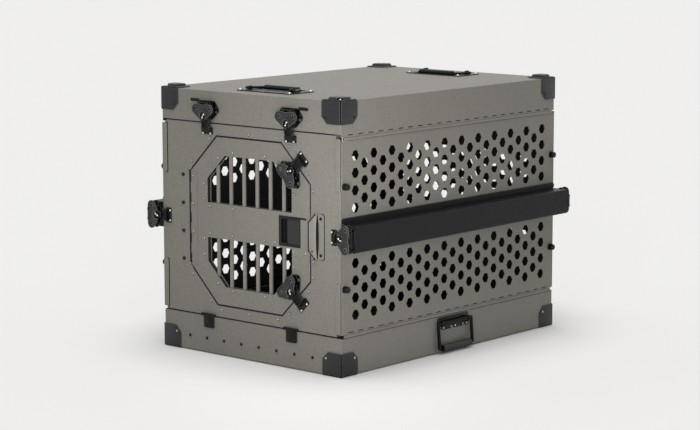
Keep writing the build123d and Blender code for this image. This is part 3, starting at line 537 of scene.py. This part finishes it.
def dome(x, y, r, z, high):
    """Round rivet head."""
    bpy.ops.mesh.primitive_uv_sphere_add(segments=16, ring_count=8, radius=r,
                                         location=(x, y, 0))
    bpy.ops.object.mode_set(mode="EDIT")
    bpy.ops.mesh.bisect(plane_co=(0, 0, 0), plane_no=(0, 0, 1), clear_inner=True, use_fill=True)
    bpy.ops.mesh.select_all(action="SELECT")
    bpy.ops.transform.resize(value=(1.0, 1.0, high / r))
    bpy.ops.transform.translate(value=(0, 0, z))
    done()
    head = bpy.context.object
    only(head)
    bpy.ops.object.transform_apply(location=True)
    bpy.ops.object.shade_smooth()
    return head


def ring(x, y, z, r, thick):
    bpy.ops.mesh.primitive_torus_add(major_radius=r, minor_radius=thick, major_segments=24,
                                     minor_segments=8, location=(x, y, z))
    bpy.ops.object.transform_apply(location=True)
    bpy.ops.object.shade_smooth()
    return bpy.context.object


def inset_top(obj, z, rim, depth):
    """Sink the flat top of a plate, at height z, inside a narrow rim."""
    pick(obj, lambda c, n: n.z > 0.9 and abs(c.z - z) < 0.0002)
    bpy.ops.mesh.inset(thickness=rim, use_boundary=True)
    bpy.ops.transform.translate(value=(0, 0, -depth))
    done()


def make_wing():
    """Heart-shaped plate with a notch for the hub and an eye in each lobe."""
    lobe_x, lobe_y, lobe_r = 0.0233, 0.0180, 0.0132
    top = wing_z + wing_t
    plate = hull("wing", [disc(s * lobe_x, lobe_y, lobe_r, wing_z, top) for s in (-1, 1)]
                 + [disc(s * 0.0125, -0.0010, 0.0040, wing_z, top, 16) for s in (-1, 1)])
    cut(plate, disc(0, lobe_y + lobe_r + 0.026, 0.028, 0.010, 0.024, 64),
        disc(0, 0.0015, 0.0098, 0.010, 0.024, 36),
        block(-0.0096, 0.0096, -0.020, 0.0017, 0.009, 0.025))
    inset_top(plate, top, 0.0020, 0.0013)
    cut(plate, *[disc(s * lobe_x, lobe_y + 0.001, 0.0033, 0.010, 0.024, 20) for s in (-1, 1)])
    bevelled(plate, 0.0005)
    eyes = [ring(s * lobe_x, lobe_y + 0.001, top - 0.0011, 0.0040, 0.0007) for s in (-1, 1)]
    return join("wing", [plate, *eyes])


def make_hub():
    """Round hub on its stem, and the bridge that the wing folds on."""
    hub = disc(0, 0, 0.0078, 0.0123, wing_z + 0.0012)
    bevelled(hub, 0.0012, 3)
    stem = disc(0, 0, 0.0040, 0.0094, 0.0130, 16)
    bridge = block(-0.0075, 0.0075, 0.0062, 0.0120, wing_z - 0.0008, wing_z + 0.0018)
    bevelled(bridge, 0.0010)
    return join("hub", [hub, stem, bridge])


def make_pin():
    """Bent pin through the hub, left bright."""
    bpy.ops.mesh.primitive_cylinder_add(vertices=14, radius=0.0011, depth=0.0062,
                                        rotation=(0, math.pi / 2, math.radians(62)),
                                        location=(0.0006, 0.0010, wing_z + 0.0030))
    bpy.ops.object.transform_apply(location=True, rotation=True)
    shaft = bpy.context.object
    bevelled(shaft, 0.0008, 3)
    ends = [dome(-0.0020, -0.0034, 0.0030, wing_z + 0.0010, 0.0030),
            dome(0.0030, 0.0046, 0.0027, wing_z + 0.0010, 0.0028)]
    return join("pin", [shaft, *ends])


def make_case(wide, y1):
    """Base plate as wide as given and reaching to y1, with its housing, cheeks and lip."""
    plate_t, lug = 0.0020, wide / 2 - 0.011
    hole_x, hole_y = lug + 0.0018, 0.0110
    plate = hull("plate", [disc(s * lug, 0.0160, 0.0110, 0.0, plate_t) for s in (-1, 1)]
                 + [disc(s * lug * 0.77, y1 - 0.009, 0.0090, 0.0, plate_t) for s in (-1, 1)]
                 + [disc(s * 0.018, -0.0045, 0.0040, 0.0, plate_t, 16) for s in (-1, 1)])
    inset_top(plate, plate_t, 0.0022, 0.0007)
    cut(plate, *[disc(s * hole_x, hole_y, 0.0029, -0.001, 0.004, 20) for s in (-1, 1)])
    bevelled(plate, 0.0004)
    rims = [ring(s * hole_x, hole_y, 0.0016, 0.0036, 0.0008) for s in (-1, 1)]
    heads = [dome(s * (lug + 0.0012), 0.0226, 0.0032, 0.0012, 0.0026) for s in (-1, 1)]
    house = block(-0.022, 0.022, -0.0085, y1 - 0.003, 0.0015, 0.0100)
    cut(house, block(-0.0173, 0.0173, -0.02, 0.06, 0.0046, 0.0080))
    bevelled(house, 0.0016, 3)
    cheeks = [block(s * 0.0222 - 0.0015, s * 0.0222 + 0.0015, 0.002, y1 - 0.010, 0.0015, 0.0128)
              for s in (-1, 1)]
    for cheek in cheeks:
        bevelled(cheek, 0.0012, 3)
    boss = disc(0, 0, 0.0085, 0.0095, 0.0120)
    cut(boss, disc(0, 0, 0.00405, 0.005, 0.0125, 16))
    lip = block(-0.0180, 0.0180, y1 - 0.0075, y1 - 0.0025, 0.0090, 0.0165)
    bevelled(lip, 0.0016, 3)
    knobs = [dome(s * 0.0120, y1 - 0.0050, 0.0026, 0.0160, 0.0016) for s in (-1, 1)]
    return join("case", [plate, *rims, *heads, house, *cheeks, boss, lip, *knobs])


def make_strap(reach):
    """Flat strap with a pressed loop and a turned-down lip."""
    tip, loop_from = -reach - 0.004, -0.013
    strap = block(-0.0170, 0.0170, tip, 0.0120, 0.0050, 0.0076)
    only(strap)
    bpy.ops.object.mode_set(mode="EDIT")
    bpy.ops.mesh.select_all(action="SELECT")
    bpy.ops.mesh.bisect(plane_co=(0, loop_from, 0), plane_no=(0, 1, 0))
    done()
    for s in (-1, 1):
        bpy.ops.object.mode_set(mode="EDIT")
        bpy.ops.mesh.select_mode(type="VERT")
        bpy.ops.mesh.select_all(action="DESELECT")
        done()
        for v in strap.data.vertices:
            v.select = v.co.y < tip + 0.001 and v.co.x * s > 0
        bpy.ops.object.mode_set(mode="EDIT")
        bpy.ops.transform.translate(value=(-s * 0.0035, 0, 0))
        done()
    pick(strap, lambda c, n: n.z > 0.9 and c.y < loop_from)
    bpy.ops.mesh.inset(thickness=0.0042)
    bpy.ops.transform.translate(value=(0, 0, -0.0016))
    done()
    bevelled(strap, 0.0006)
    lip = block(-0.0120, 0.0120, tip, tip + 0.0026, 0.0022, 0.0070)
    bevelled(lip, 0.0007)
    bar = block(-0.0142, 0.0142, tip, tip + 0.0040, 0.0068, 0.0092)
    bevelled(bar, 0.0012, 3)
    ribs = [block(s * 0.0118 - 0.0011, s * 0.0118 + 0.0011, tip + 0.002, -0.0095, 0.0068, 0.0088)
            for s in (-1, 1)]
    for rib in ribs:
        bevelled(rib, 0.0008)
    return join("strap", [strap, lip, bar, *ribs])


wing_shape = make_wing()
hub_shape = make_hub()
pin_shape = make_pin()
shapes = {kind: (make_case(wide, y1), make_strap(reach))
          for kind, (wide, y1, reach) in latch_parts.items()}


def latch_place(name):
    """Frame of a latch: Z out of the face, Y away from its strap."""
    turn, slide = joint_at[name + "_wing_turn"], joint_at[name + "_hook_slide"]
    out, away = Vector(turn["axis"]), -Vector(slide["axis"])
    at = Vector(turn["pos_m"])
    at.y = math.copysign(rear_y, at.y)
    return facing(*at, out, away.normalized())


def keeper_rivets(place, reach):
    """The two rivets of a keeper, past the end of the strap."""
    return [copy_to(rivet, place @ Matrix.Translation((s * 0.013, -reach - 0.0146, 0.0026)))
            for s in (-1, 1)]


rear_flip = Matrix.Rotation(math.pi, 4, "Z")
places = {n[:-10]: latch_place(n[:-10]) for n in joint_at if n.endswith("_wing_turn")}
for name, place in places.items():
    kind = name.split("_")[0] if name.split("_")[0] in latch_parts else "bar"
    wing = ride(copy_to(wing_shape, place), name + "_wing", wing_black)
    wing.name = name + "_wing_pressing"
    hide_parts(name + "_wing")
    hub = ride(copy_to(hub_shape, place), name + "_wing", latch_black)
    hub.name = name + "_wing_hub"
    pin = ride(copy_to(pin_shape, place), name + "_wing", zinc)
    pin.name = name + "_wing_pin"
    strap = ride(copy_to(shapes[kind][1], place), name + "_hook", latch_black)
    strap.name = name + "_strap"
    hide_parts(name + "_hook")
    body = "rear_panel" if "rear" in name else "front_panel"
    ride(join(name + "_keeper_rivets", keeper_rivets(place, latch_parts[kind][2])), body, zinc)

case_groups = {
    "lid_latch_cases": ("lid", "lid", ["lid_front_right", "lid_front_left"], True),
    "right_bar_latch_cases": ("bar", "right_lock_bar", ["right_bar_front", "right_bar_rear"],
                              False),
    "left_bar_latch_cases": ("bar", "left_lock_bar", ["left_bar_front", "left_bar_rear"], False),
    "door_latch_cases": ("door", "door", ["door_upper", "door_lower"], False)}
for node, (kind, body, names, both_ends) in case_groups.items():
    spots = [places[n] for n in names]
    if both_ends:
        spots += [rear_flip @ spot for spot in spots]
    cases = join(node + "_pressed", [copy_to(shapes[kind][0], spot) for spot in spots])
    ride(cases, body, latch_black)
    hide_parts(node)
rear_spots = [rear_flip @ places[n] for n in ("lid_front_right", "lid_front_left")]
rear_set = join("rear_lid_latch_pressings",
                [copy_to(shape, spot) for spot in rear_spots
                 for shape in (wing_shape, hub_shape, shapes["lid"][1])])
ride(rear_set, "lid", latch_black)
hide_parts("rear_lid_latches")
ride(join("rear_lid_latch_pins", [copy_to(pin_shape, spot) for spot in rear_spots]), "lid", zinc)
rear_heads = [head for spot in rear_spots for head in keeper_rivets(spot, latch_parts["lid"][2])]
ride(join("rear_lid_keeper_rivets", rear_heads), "rear_panel", zinc)
remove(wing_shape, hub_shape, pin_shape, *[shape for pair in shapes.values() for shape in pair])

# Corner guard pressings: each cap is three 3 mm plates with a groove left along the bends,
# held by a blind rivet near each cut corner. A lid cap also carries a notched stacking pad.
# A near-black bar in each groove is painted shade.
guard_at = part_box("base_corner_guards")[1]
guard_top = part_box("lid_shell")[1].z + 0.003
guard_reach, guard_t = 0.063, 0.0028
groove_shade_black = black_coat("black_guard_bends", (0.003, 0.003, 0.003), (0.01, 0.01, 0.01), 0.4, 0.5,
                        0.1)


def guard_plates():
    """Three plates with rounded corners, the far corner cut off, and a groove along each bend."""
    r, groove = 0.0016, 0.0030
    near, far, high = groove + r, guard_reach - r, 0.060 - r
    side = [(near, near), (far, near), (far, 0.0415), (0.0447, high), (near, high)]
    flat = [(near, near), (far, near), (far, 0.0445), (0.0445, far), (near, far)]
    front = hull("front", [disc(u, v, r, -guard_t, 0.0, 14) for u, v in side])
    flank = hull("flank", [disc(-u, v, r, -guard_t, 0.0, 14) for u, v in side])
    base = hull("base", [disc(-u, -v, r, 0.0, guard_t, 14) for u, v in flat])
    turned = []
    for plate, place in ((front, facing(0, 0, 0, (0, 1, 0))), (flank, facing(0, 0, 0, (1, 0, 0))),
                         (base, Matrix.Identity(4))):
        bevelled(plate, 0.0010)
        turned.append(copy_to(plate, place))
        remove(plate)
    return join("guard", turned)


def guard_bends():
    """Near-black bars at the bottom of the three grooves, as painted shade."""
    a, b = -0.0040, -0.0016
    return join("bends", [block(a, b, a, b, -b, 0.0585), block(-0.0610, b, a, b, -b, -a),
                          block(a, b, -0.0610, b, -b, -a)])


guard_shape, bend_shape = guard_plates(), guard_bends()
low_spots, top_spots = [], []
flip = Matrix.Rotation(math.pi, 4, Vector((1, 1, 0)).normalized())
for k, (sx, sy) in enumerate(((1, 1), (-1, 1), (-1, -1), (1, -1))):
    turn_k = Matrix.Rotation(k * math.pi / 2, 4, "Z")
    low_spots.append(Matrix.Translation((sx * guard_at.x, sy * guard_at.y, 0)) @ turn_k)
    top_spots.append(Matrix.Translation((sx * guard_at.x, sy * guard_at.y, guard_top)) @ turn_k
                     @ flip)
pad_foot = ((-0.0455, -0.0455), (-0.0095, -0.0455), (-0.0455, -0.0095), (-0.0095, -0.0195),
            (-0.0195, -0.0095))
pad_crown = ((-0.0440, -0.0440), (-0.0115, -0.0440), (-0.0440, -0.0115), (-0.0115, -0.0205),
             (-0.0205, -0.0115))
pad = hull("pad", [disc(x, y, 0.0030, -0.0003, 0.0003, 14) for x, y in pad_foot]
           + [disc(x, y, 0.0020, -0.0060, -0.0055, 14) for x, y in pad_crown])
cut(pad, disc(-0.0120, -0.0120, 0.0085, -0.02, 0.01, 24))
bevelled(pad, 0.0008)
# A cap has a rivet in both upright faces, and on the lid another beside the pad. Each face
# rivet sits in a thin dark ring of painted shade.
face_spots = [facing(-0.0500, 0, 0.0440, (0, 1, 0)), facing(0, -0.0500, 0.0440, (1, 0, 0))]
pad_spot = Matrix.Translation((-0.0125, -0.0125, 0)) @ Matrix.Rotation(math.pi, 4, "X")
for body, spots in (("base", low_spots), ("lid", top_spots)):
    caps = join(body + "_guard_pressings", [copy_to(guard_shape, spot) for spot in spots])
    ride(caps, body, guard_black)
    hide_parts(body + "_corner_guards")
    bends = join(body + "_guard_bends", [copy_to(bend_shape, spot) for spot in spots])
    ride(bends, body, groove_shade_black)
    heads = [copy_to(rivet, spot @ face) for spot in spots for face in face_spots]
    rings = [copy_to(shade_ring, spot @ face) for spot in spots for face in face_spots]
    if body == "lid":
        ride(join("lid_guard_pads", [copy_to(pad, spot) for spot in spots]), "lid", guard_black)
        ride(join("lid_pad_rivets", [copy_to(rivet, spot @ pad_spot) for spot in spots]), "lid",
             zinc)
    ride(join(body + "_guard_rivets", heads), body,
         rivet_metal if body == "base" else hardware_black)
    ride(join(body + "_guard_rivet_shade_ring", rings), body, shade_ring_black)
remove(guard_shape, bend_shape, pad)

# Carry handles: a pressed plate screwed to the sheet, and a bail of 9 mm steel rod whose top
# run turns in the plate's rolled edge. The grip is a black rubber sleeve with steel end caps.
leg_x, leg_drop, pivot_out, grip_out = 0.068, 0.063, 0.0077, 0.0125
grip_half, grip_r, bail_r = 0.056, 0.0085, 0.0044
grip_rubber = black_coat("black_grip_rubber", (0.030, 0.030, 0.031), (0.06, 0.06, 0.06), 0.42,
                         0.56, 0.3, 0.0010, 0.40, 260.0)
bail_black = black_coat("black_gloss_bail", (0.0025, 0.0025, 0.0027), (0.05, 0.05, 0.05), 0.12,
                        0.22, 0.12, 0.0006, 0.45)


def rod_piece(a, b, r, sides=20):
    """Round rod between two points, with rounded ends."""
    a, b = Vector(a), Vector(b)
    along = (b - a).normalized()
    bpy.ops.mesh.primitive_cylinder_add(vertices=sides, radius=r, depth=(b - a).length)
    bar = bpy.context.object
    turned = along.to_track_quat("Z", "Y").to_matrix().to_4x4()
    bar.matrix_world = Matrix.Translation((a + b) / 2) @ turned
    bpy.ops.object.transform_apply(location=True, rotation=True)
    only(bar)
    bpy.ops.object.shade_smooth_by_angle(angle=math.radians(40))
    return bar


def knob(at, r):
    bpy.ops.mesh.primitive_uv_sphere_add(segments=20, ring_count=12, radius=r, location=at)
    bpy.ops.object.transform_apply(location=True)
    bpy.ops.object.shade_smooth()
    return bpy.context.object


def bail_rod():
    """Rod bent to a flat loop: pivot run, two legs and the grip's run, with round corners."""
    pivot, grip = [[Vector((s * leg_x, y, z)) for s in (-1, 1)]
                   for y, z in ((0, pivot_out), (-leg_drop, grip_out))]
    parts = [rod_piece(*pivot, bail_r), rod_piece(*grip, bail_r)]
    for high, low in zip(pivot, grip):
        parts += [rod_piece(high, low, bail_r), knob(high, bail_r), knob(low, bail_r)]
    return join("bail", parts)


def grip_caps(half, r):
    """Steel end caps just outside the sleeve's two ends."""
    caps = [rod_piece((s * half, -leg_drop, grip_out), (s * (half + 0.003), -leg_drop, grip_out),
                      r, 28) for s in (-1, 1)]
    for cap in caps:
        bevelled(cap, 0.0010, 3)
    return join("caps", caps)


def studs(xs, y, z):
    """Screws along the plate: a dished black head, and a bright rivet beside each."""
    bright = [dome(x + 0.0070, y, 0.0031, z, 0.0026) for x in xs]
    rims = [ring(x - 0.0060, y, z + 0.0006, 0.0036, 0.0008) for x in xs]
    return join("studs", bright + rims)


plate_t, screw_xs = 0.0025, (-0.048, 0.0, 0.048)
base_plate = hull("plate", [disc(x, y, 0.007, 0.0, plate_t, 24)
                            for x in (-0.057, 0.057) for y in (0.008, -0.012)])
bevelled(base_plate, 0.0006)
ears = [block(s * 0.055 - 0.003, s * 0.055 + 0.003, -0.0065, 0.0065, 0.002, 0.0138)
        for s in (-1, 1)]
for ear in ears:
    bevelled(ear, 0.0014, 3)
roll = rod_piece((-0.050, 0, pivot_out), (0.050, 0, pivot_out), 0.0052)
hooks = [block(x - 0.006, x + 0.006, -0.0150, -0.0040, plate_t, 0.0042) for x in screw_xs]
for hook in hooks:
    bevelled(hook, 0.0009)
side_plate = join("side_plate", [base_plate, *ears, *hooks])
side_bail = join("side_bail", [bail_rod(), roll])
side_grip = rod_piece((-grip_half, -leg_drop, grip_out), (grip_half, -leg_drop, grip_out),
                      grip_r, 32)
side_caps = grip_caps(grip_half, grip_r + 0.0003)
side_studs = studs(screw_xs, -0.0135, plate_t)
plates, stud_sets = [], []
for name, s in (("right", 1), ("left", -1)):
    joint = joint_at[name + "_carry_swing"]
    spot = facing(s * wall_side, 0, joint["pos_m"][2], (s, 0, 0))
    bail_piece = ride(copy_to(side_bail, spot), joint["child"], bail_black)
    bail_piece.name = name + "_carry_bail_rod"
    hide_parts(name + "_carry_bail")
    grip_piece = ride(copy_to(side_grip, spot), joint["child"], grip_rubber)
    grip_piece.name = name + "_carry_grip"
    cap_piece = ride(copy_to(side_caps, spot), joint["child"], bail_black)
    cap_piece.name = name + "_carry_grip_caps"
    plates.append(copy_to(side_plate, spot))
    stud_sets.append(copy_to(side_studs, spot))
side_plates = ride(join("side_handle_pressings", plates), "base", latch_black)
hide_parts("base_handle_plates")
ride(join("side_handle_studs", stud_sets), "base", zinc)
remove(side_plate, side_bail, side_grip, side_caps, side_studs)

# Lid handle fittings: bright screws hold the recessed plate at its corners, and the bail
# carries the same rubber sleeve as the side handles.
plate_corners = [(x, y) for x in (-0.085, 0.085) for y in (0.022, -0.057)]
lid_studs = join("studs", [dome(x, y, 0.0037, 0.0024, 0.0028) for x, y in plate_corners]
                 + [ring(x, y, 0.0027, 0.0050, 0.0007) for x, y in plate_corners])
lid_sleeve = rod_piece((-0.0565, -0.043, 0.0054), (0.0565, -0.043, 0.0054), 0.0065, 28)
lid_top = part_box("lid_shell")[1].z
lid_spots = []
for name, s in (("front", -1), ("rear", 1)):
    joint = joint_at[name + "_lid_swing"]
    spot = Matrix.Translation((0, joint["pos_m"][1], lid_top))
    if s < 0:
        spot = spot @ Matrix.Rotation(math.pi, 4, "Z")
    lid_spots.append(copy_to(lid_studs, spot))
    sleeve = ride(copy_to(lid_sleeve, spot), joint["child"], grip_rubber)
    sleeve.name = name + "_lid_grip"
ride(join("lid_handle_studs", lid_spots), "lid", zinc)
remove(lid_studs, lid_sleeve)

# Panel clips: folded clips with a rolled lip, riveted to the tray's end walls, that the end
# panels drop behind. A row of black button-head screws runs along each end below them.
clip_x, clip_z, screw_z, screw_pitch, screw_count = 0.144, 0.083, 0.039, 0.061, 8
clip_body = hull("clip", [disc(x, y, 0.0040, 0.0, 0.0025, 20) for x, y in
                          ((-0.0145, -0.0120), (0.0145, -0.0120), (-0.0140, 0.0150),
                           (0.0140, 0.0150))])
clip_lip = rod_piece((-0.0235, 0.0185, 0.0042), (0.0235, 0.0185, 0.0042), 0.0040)
clip_shape = join("clip", [clip_body, clip_lip])
bevelled(clip_shape, 0.0006)
clip_heads = join("heads", [dome(x, y, 0.0024, 0.0024, 0.0014)
                            for x, y in ((-0.008, -0.009), (0.008, -0.009), (0.0, 0.003))])
screw_shape = dome(0, 0, 0.0040, 0.0, 0.0026)
clips, heads, screws = [], [], []
for s in (-1, 1):
    end_y = front_y if s < 0 else rear_y
    for x in (-clip_x, clip_x):
        spot = facing(x, end_y, clip_z, (0, s, 0))
        clips.append(copy_to(clip_shape, spot))
        heads.append(copy_to(clip_heads, spot))
    screws += [copy_to(screw_shape, facing((i - (screw_count - 1) / 2) * screw_pitch, end_y,
                                           screw_z, (0, s, 0))) for i in range(screw_count)]
clip_set = ride(join("panel_clip_pressings", clips), "base", latch_black)
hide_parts("base_panel_clips")
ride(join("panel_clip_rivets", heads), "base", hardware_black)
screw_set = ride(join("base_button_screws", screws), "base", latch_black)
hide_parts("base_screws")
remove(clip_shape, clip_heads, screw_shape)

# Strike fittings: near-black painted shade along the hood's door side, in the hollow where
# its back stands off the panel, in a small hole and as a bead round the flange; and two
# black screws in its flange.
strike_low, strike_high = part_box("door_strike")
hood_x, hood_z = strike_low.x, (strike_low.z + strike_high.z) / 2


def on_front(piece, y=0.0):
    """Stand a piece drawn in X and Z, with Z out, on the front face."""
    stood = copy_to(piece, Matrix.Translation((0, front_y + y, 0)) @
                    Matrix.Rotation(math.pi / 2, 4, "X"))
    remove(piece)
    return stood


edge_line = [(hood_x + 0.0225, strike_high.z - 0.0012), (hood_x + 0.0018, strike_high.z - 0.0215),
             (hood_x + 0.0018, strike_low.z + 0.0220), (hood_x + 0.0225, strike_low.z + 0.0012)]
edge_runs = [hull("run", [disc(*end, 0.0017, 0.0104, 0.0123, 12) for end in ends])
             for ends in zip(edge_line, edge_line[1:])]
bead_shade = hull("bead_shade", [disc(hood_x + dx, z, 0.0060, 0.0, 0.0006, 20) for dx in (0.0330, 0.0391)
                     for z in (strike_low.z + 0.0048, strike_high.z - 0.0048)])
hole = disc(hood_x + 0.0140, hood_z - 0.0355, 0.0024, 0.0121, 0.0123, 16)
hollow = hull("hollow", [disc(0, v, r, 0.0001, 0.0005, 24) for v, r in
                         ((0, 0.0040), (0.030, 0.0033), (-0.030, 0.0033), (0.054, 0.0010),
                          (-0.054, 0.0010))])
hollow_at = facing(hood_x + 0.0255, front_y - 0.0055, hood_z, (0.9191, -0.3939, 0))
painted_shade = [on_front(piece) for piece in (*edge_runs, bead_shade, hole)]
painted_shade.append(copy_to(hollow, hollow_at))
remove(hollow)
ride(join("strike_painted_shade", painted_shade), "front_panel", painted_shade_strip)
bolts = [copy_to(rivet, facing(hood_x + 0.0345, front_y - 0.0020, z, (0, -1, 0)) @
                 Matrix.Scale(1.35, 4)) for z in (strike_low.z + 0.0110, strike_high.z - 0.0110)]
ride(join("strike_screws", bolts), "front_panel", latch_black)

# Seam shade: near-black strips along the top and bottom edges of the end panels and round
# the doorway, painted shade in the seams there.
panel_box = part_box("front_panel")
door_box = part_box("door_skin")
door_gap, corner_r = 0.0032, 0.0004


def octagon(half_x, half_z, corner):
    """The eight corners of a rectangle whose corners are cut off by the given length."""
    return [(sx * x, sz * z) for sx in (-1, 1) for sz in (-1, 1)
            for x, z in ((half_x, half_z - corner), (half_x - corner, half_z))]


half_x, half_z = door_box[1].x + door_gap, (door_box[1].z - door_box[0].z) / 2 + door_gap
outer = hull("outer", [disc(x, z + door_mid, corner_r, -0.0018, 0.0004, 8)
                       for x, z in octagon(half_x + 0.0006, half_z + 0.0006, 0.0972)])
inset = corner_r + 0.0024
inner = hull("inner", [disc(x, z + door_mid, corner_r, -0.01, 0.01, 8)
                       for x, z in octagon(half_x - inset, half_z - inset, 0.0956)])
cut(outer, inner, block(-0.25, -0.195, door_mid - 0.13, door_mid + 0.13, -0.01, 0.01),
    block(hood_x - 0.004, 0.25, strike_low.z - 0.0005, strike_high.z + 0.0005, -0.01, 0.01))
ride(on_front(outer), "front_panel", painted_shade_strip).name = "doorway_shade_strip"
for end, s, y in (("front", -1, front_y), ("rear", 1, rear_y)):
    y0, y1 = sorted((y + s * 0.0006, y - s * 0.0018))
    seam_shade_strips = [block(-0.2915, 0.2915, y0, y1, z0, z1)
             for z0, z1 in ((panel_box[0].z - 0.0010, panel_box[0].z + 0.0014),
                            (panel_box[1].z - 0.0016, panel_box[1].z + 0.0009))]
    ride(join(end + "_panel_seam_shade", seam_shade_strips), end + "_panel", painted_shade_strip)

# Lid slots: near-black pieces in the obround slots beside the lid's latches, at both ends,
# as painted shade in the slots.
slot_x, slot_drop = 0.1865, 0.0255
slot_shade_shape = hull("slot_shade", [disc(dx, 0, 0.0040, -0.0005, 0.0006, 20) for dx in (-0.0125, 0.0125)])
slot_shade_pieces = [copy_to(slot_shade_shape, facing(x, y, lid_top - slot_drop, (0, s, 0)))
            for s, y in ((-1, front_y), (1, rear_y)) for x in (-slot_x, slot_x)]
remove(slot_shade_shape)
ride(join("lid_slot_shade", slot_shade_pieces), "lid", painted_shade_strip)

# Slot shade: near-black strips behind the short slots over the long side hinges, and a strip
# along the tray's edge below the hinge, painted shade in the slots and in that seam.
slots_z, tray_top = joint_at["fold"]["pos_m"][2] + 0.0085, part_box("base_tray")[1].z
for name, s in (("right", 1), ("left", -1)):
    x0, x1 = sorted((s * (wall_side - 0.0021), s * (wall_side - 0.0029)))
    slot_shade_backing = block(x0, x1, -0.412, 0.412, slots_z - 0.0030, slots_z + 0.0030)
    ride(slot_shade_backing, name + "_lower_wall", painted_shade_strip).name = name + "_lower_slot_shade"
    x0, x1 = sorted((s * (wall_side - 0.0010), s * (wall_side + 0.0003)))
    edge_shade = block(x0, x1, -0.432, 0.432, tray_top - 0.0012, tray_top + 0.0002)
    ride(edge_shade, "base", painted_shade_strip).name = name + "_tray_edge_shade"
remove(rivet, shade_ring)

# Floor and light: a pale studio sweep, an even sky, one broad soft key overhead and a small
# softbox near the front corner, so that a colour shows about as it is written.
ground = 0.855


def studio_floor():
    bpy.ops.mesh.primitive_plane_add(size=60.0)
    floor = bpy.context.object
    floor.name = "studio_floor"
    mat, tree, shader = new_material("studio_floor")
    shader.inputs["Base Color"].default_value = (0.85, 0.85, 0.85, 1.0)
    shader.inputs["Roughness"].default_value = 0.9
    shader.inputs["Specular IOR Level"].default_value = 0.1
    floor.data.materials.append(mat)


studio_floor()
world = bpy.data.worlds.new("studio")
bpy.context.scene.world = world
world.use_nodes = True
sky = world.node_tree
back = sky.nodes["Background"]
path = sky.nodes.new("ShaderNodeLightPath")
sweep_or_sky = sky.nodes.new("ShaderNodeMix")
sweep_or_sky.data_type = "RGBA"
sweep_or_sky.inputs[6].default_value = (0.285, 0.288, 0.292, 1.0)
sweep_or_sky.inputs[7].default_value = (ground, ground, ground, 1.0)
seen = path.outputs["Is Camera Ray"]
for ray in ("Is Glossy Ray", "Is Transmission Ray"):
    either = sky.nodes.new("ShaderNodeMath")
    either.operation = "MAXIMUM"
    sky.links.new(seen, either.inputs[0])
    sky.links.new(path.outputs[ray], either.inputs[1])
    seen = either.outputs[0]
sky.links.new(seen, sweep_or_sky.inputs[0])
sky.links.new(sweep_or_sky.outputs[2], back.inputs["Color"])
back.inputs["Strength"].default_value = 1.0

bpy.ops.object.light_add(type="SUN")
key = bpy.context.object
key.name = "key"
key.data.energy = 2.3
key.data.angle = math.radians(50)
key.data.color = (1.0, 0.985, 0.96)
key.rotation_euler = Vector((0.02, -0.03, 1.0)).to_track_quat("Z", "Y").to_euler()

bpy.ops.object.light_add(type="AREA", location=(0.90, -1.25, 0.50))
fill = bpy.context.object
fill.name = "near_softbox"
fill.data.shape = "RECTANGLE"
fill.data.size, fill.data.size_y = 0.42, 0.60
fill.data.energy = 1.45
fill.data.spread = math.radians(68)
fill_target = Vector((0.28, -0.45, 0.52))
fill.rotation_euler = (fill.location - fill_target).to_track_quat("Z", "Y").to_euler()

# Camera: three-quarter view of the door end and the right side, from a little above.
view_azimuth = math.radians(41.0657)
view_height = math.radians(8.5507)
view_roll = math.radians(-0.0927)
camera_at = Vector((3.8188, -4.4336, 1.2047))
toward_camera = Vector((math.sin(view_azimuth) * math.cos(view_height),
                        -math.cos(view_azimuth) * math.cos(view_height),
                        math.sin(view_height)))
right = Vector((math.cos(view_azimuth), math.sin(view_azimuth), 0.0))
up = toward_camera.cross(right)
turn = Matrix.Rotation(view_roll, 4, toward_camera)
right, up = turn @ right, turn @ up
bpy.ops.object.camera_add()
camera = bpy.context.object
camera.data.sensor_width = 36.0
camera.data.lens = 114.16
camera.data.clip_end = 100.0
camera.matrix_world = Matrix.Translation(camera_at) @ Matrix(
    (right, up, toward_camera)).transposed().to_4x4()
bpy.context.scene.camera = camera
bpy.context.scene.view_settings.view_transform = "Standard"
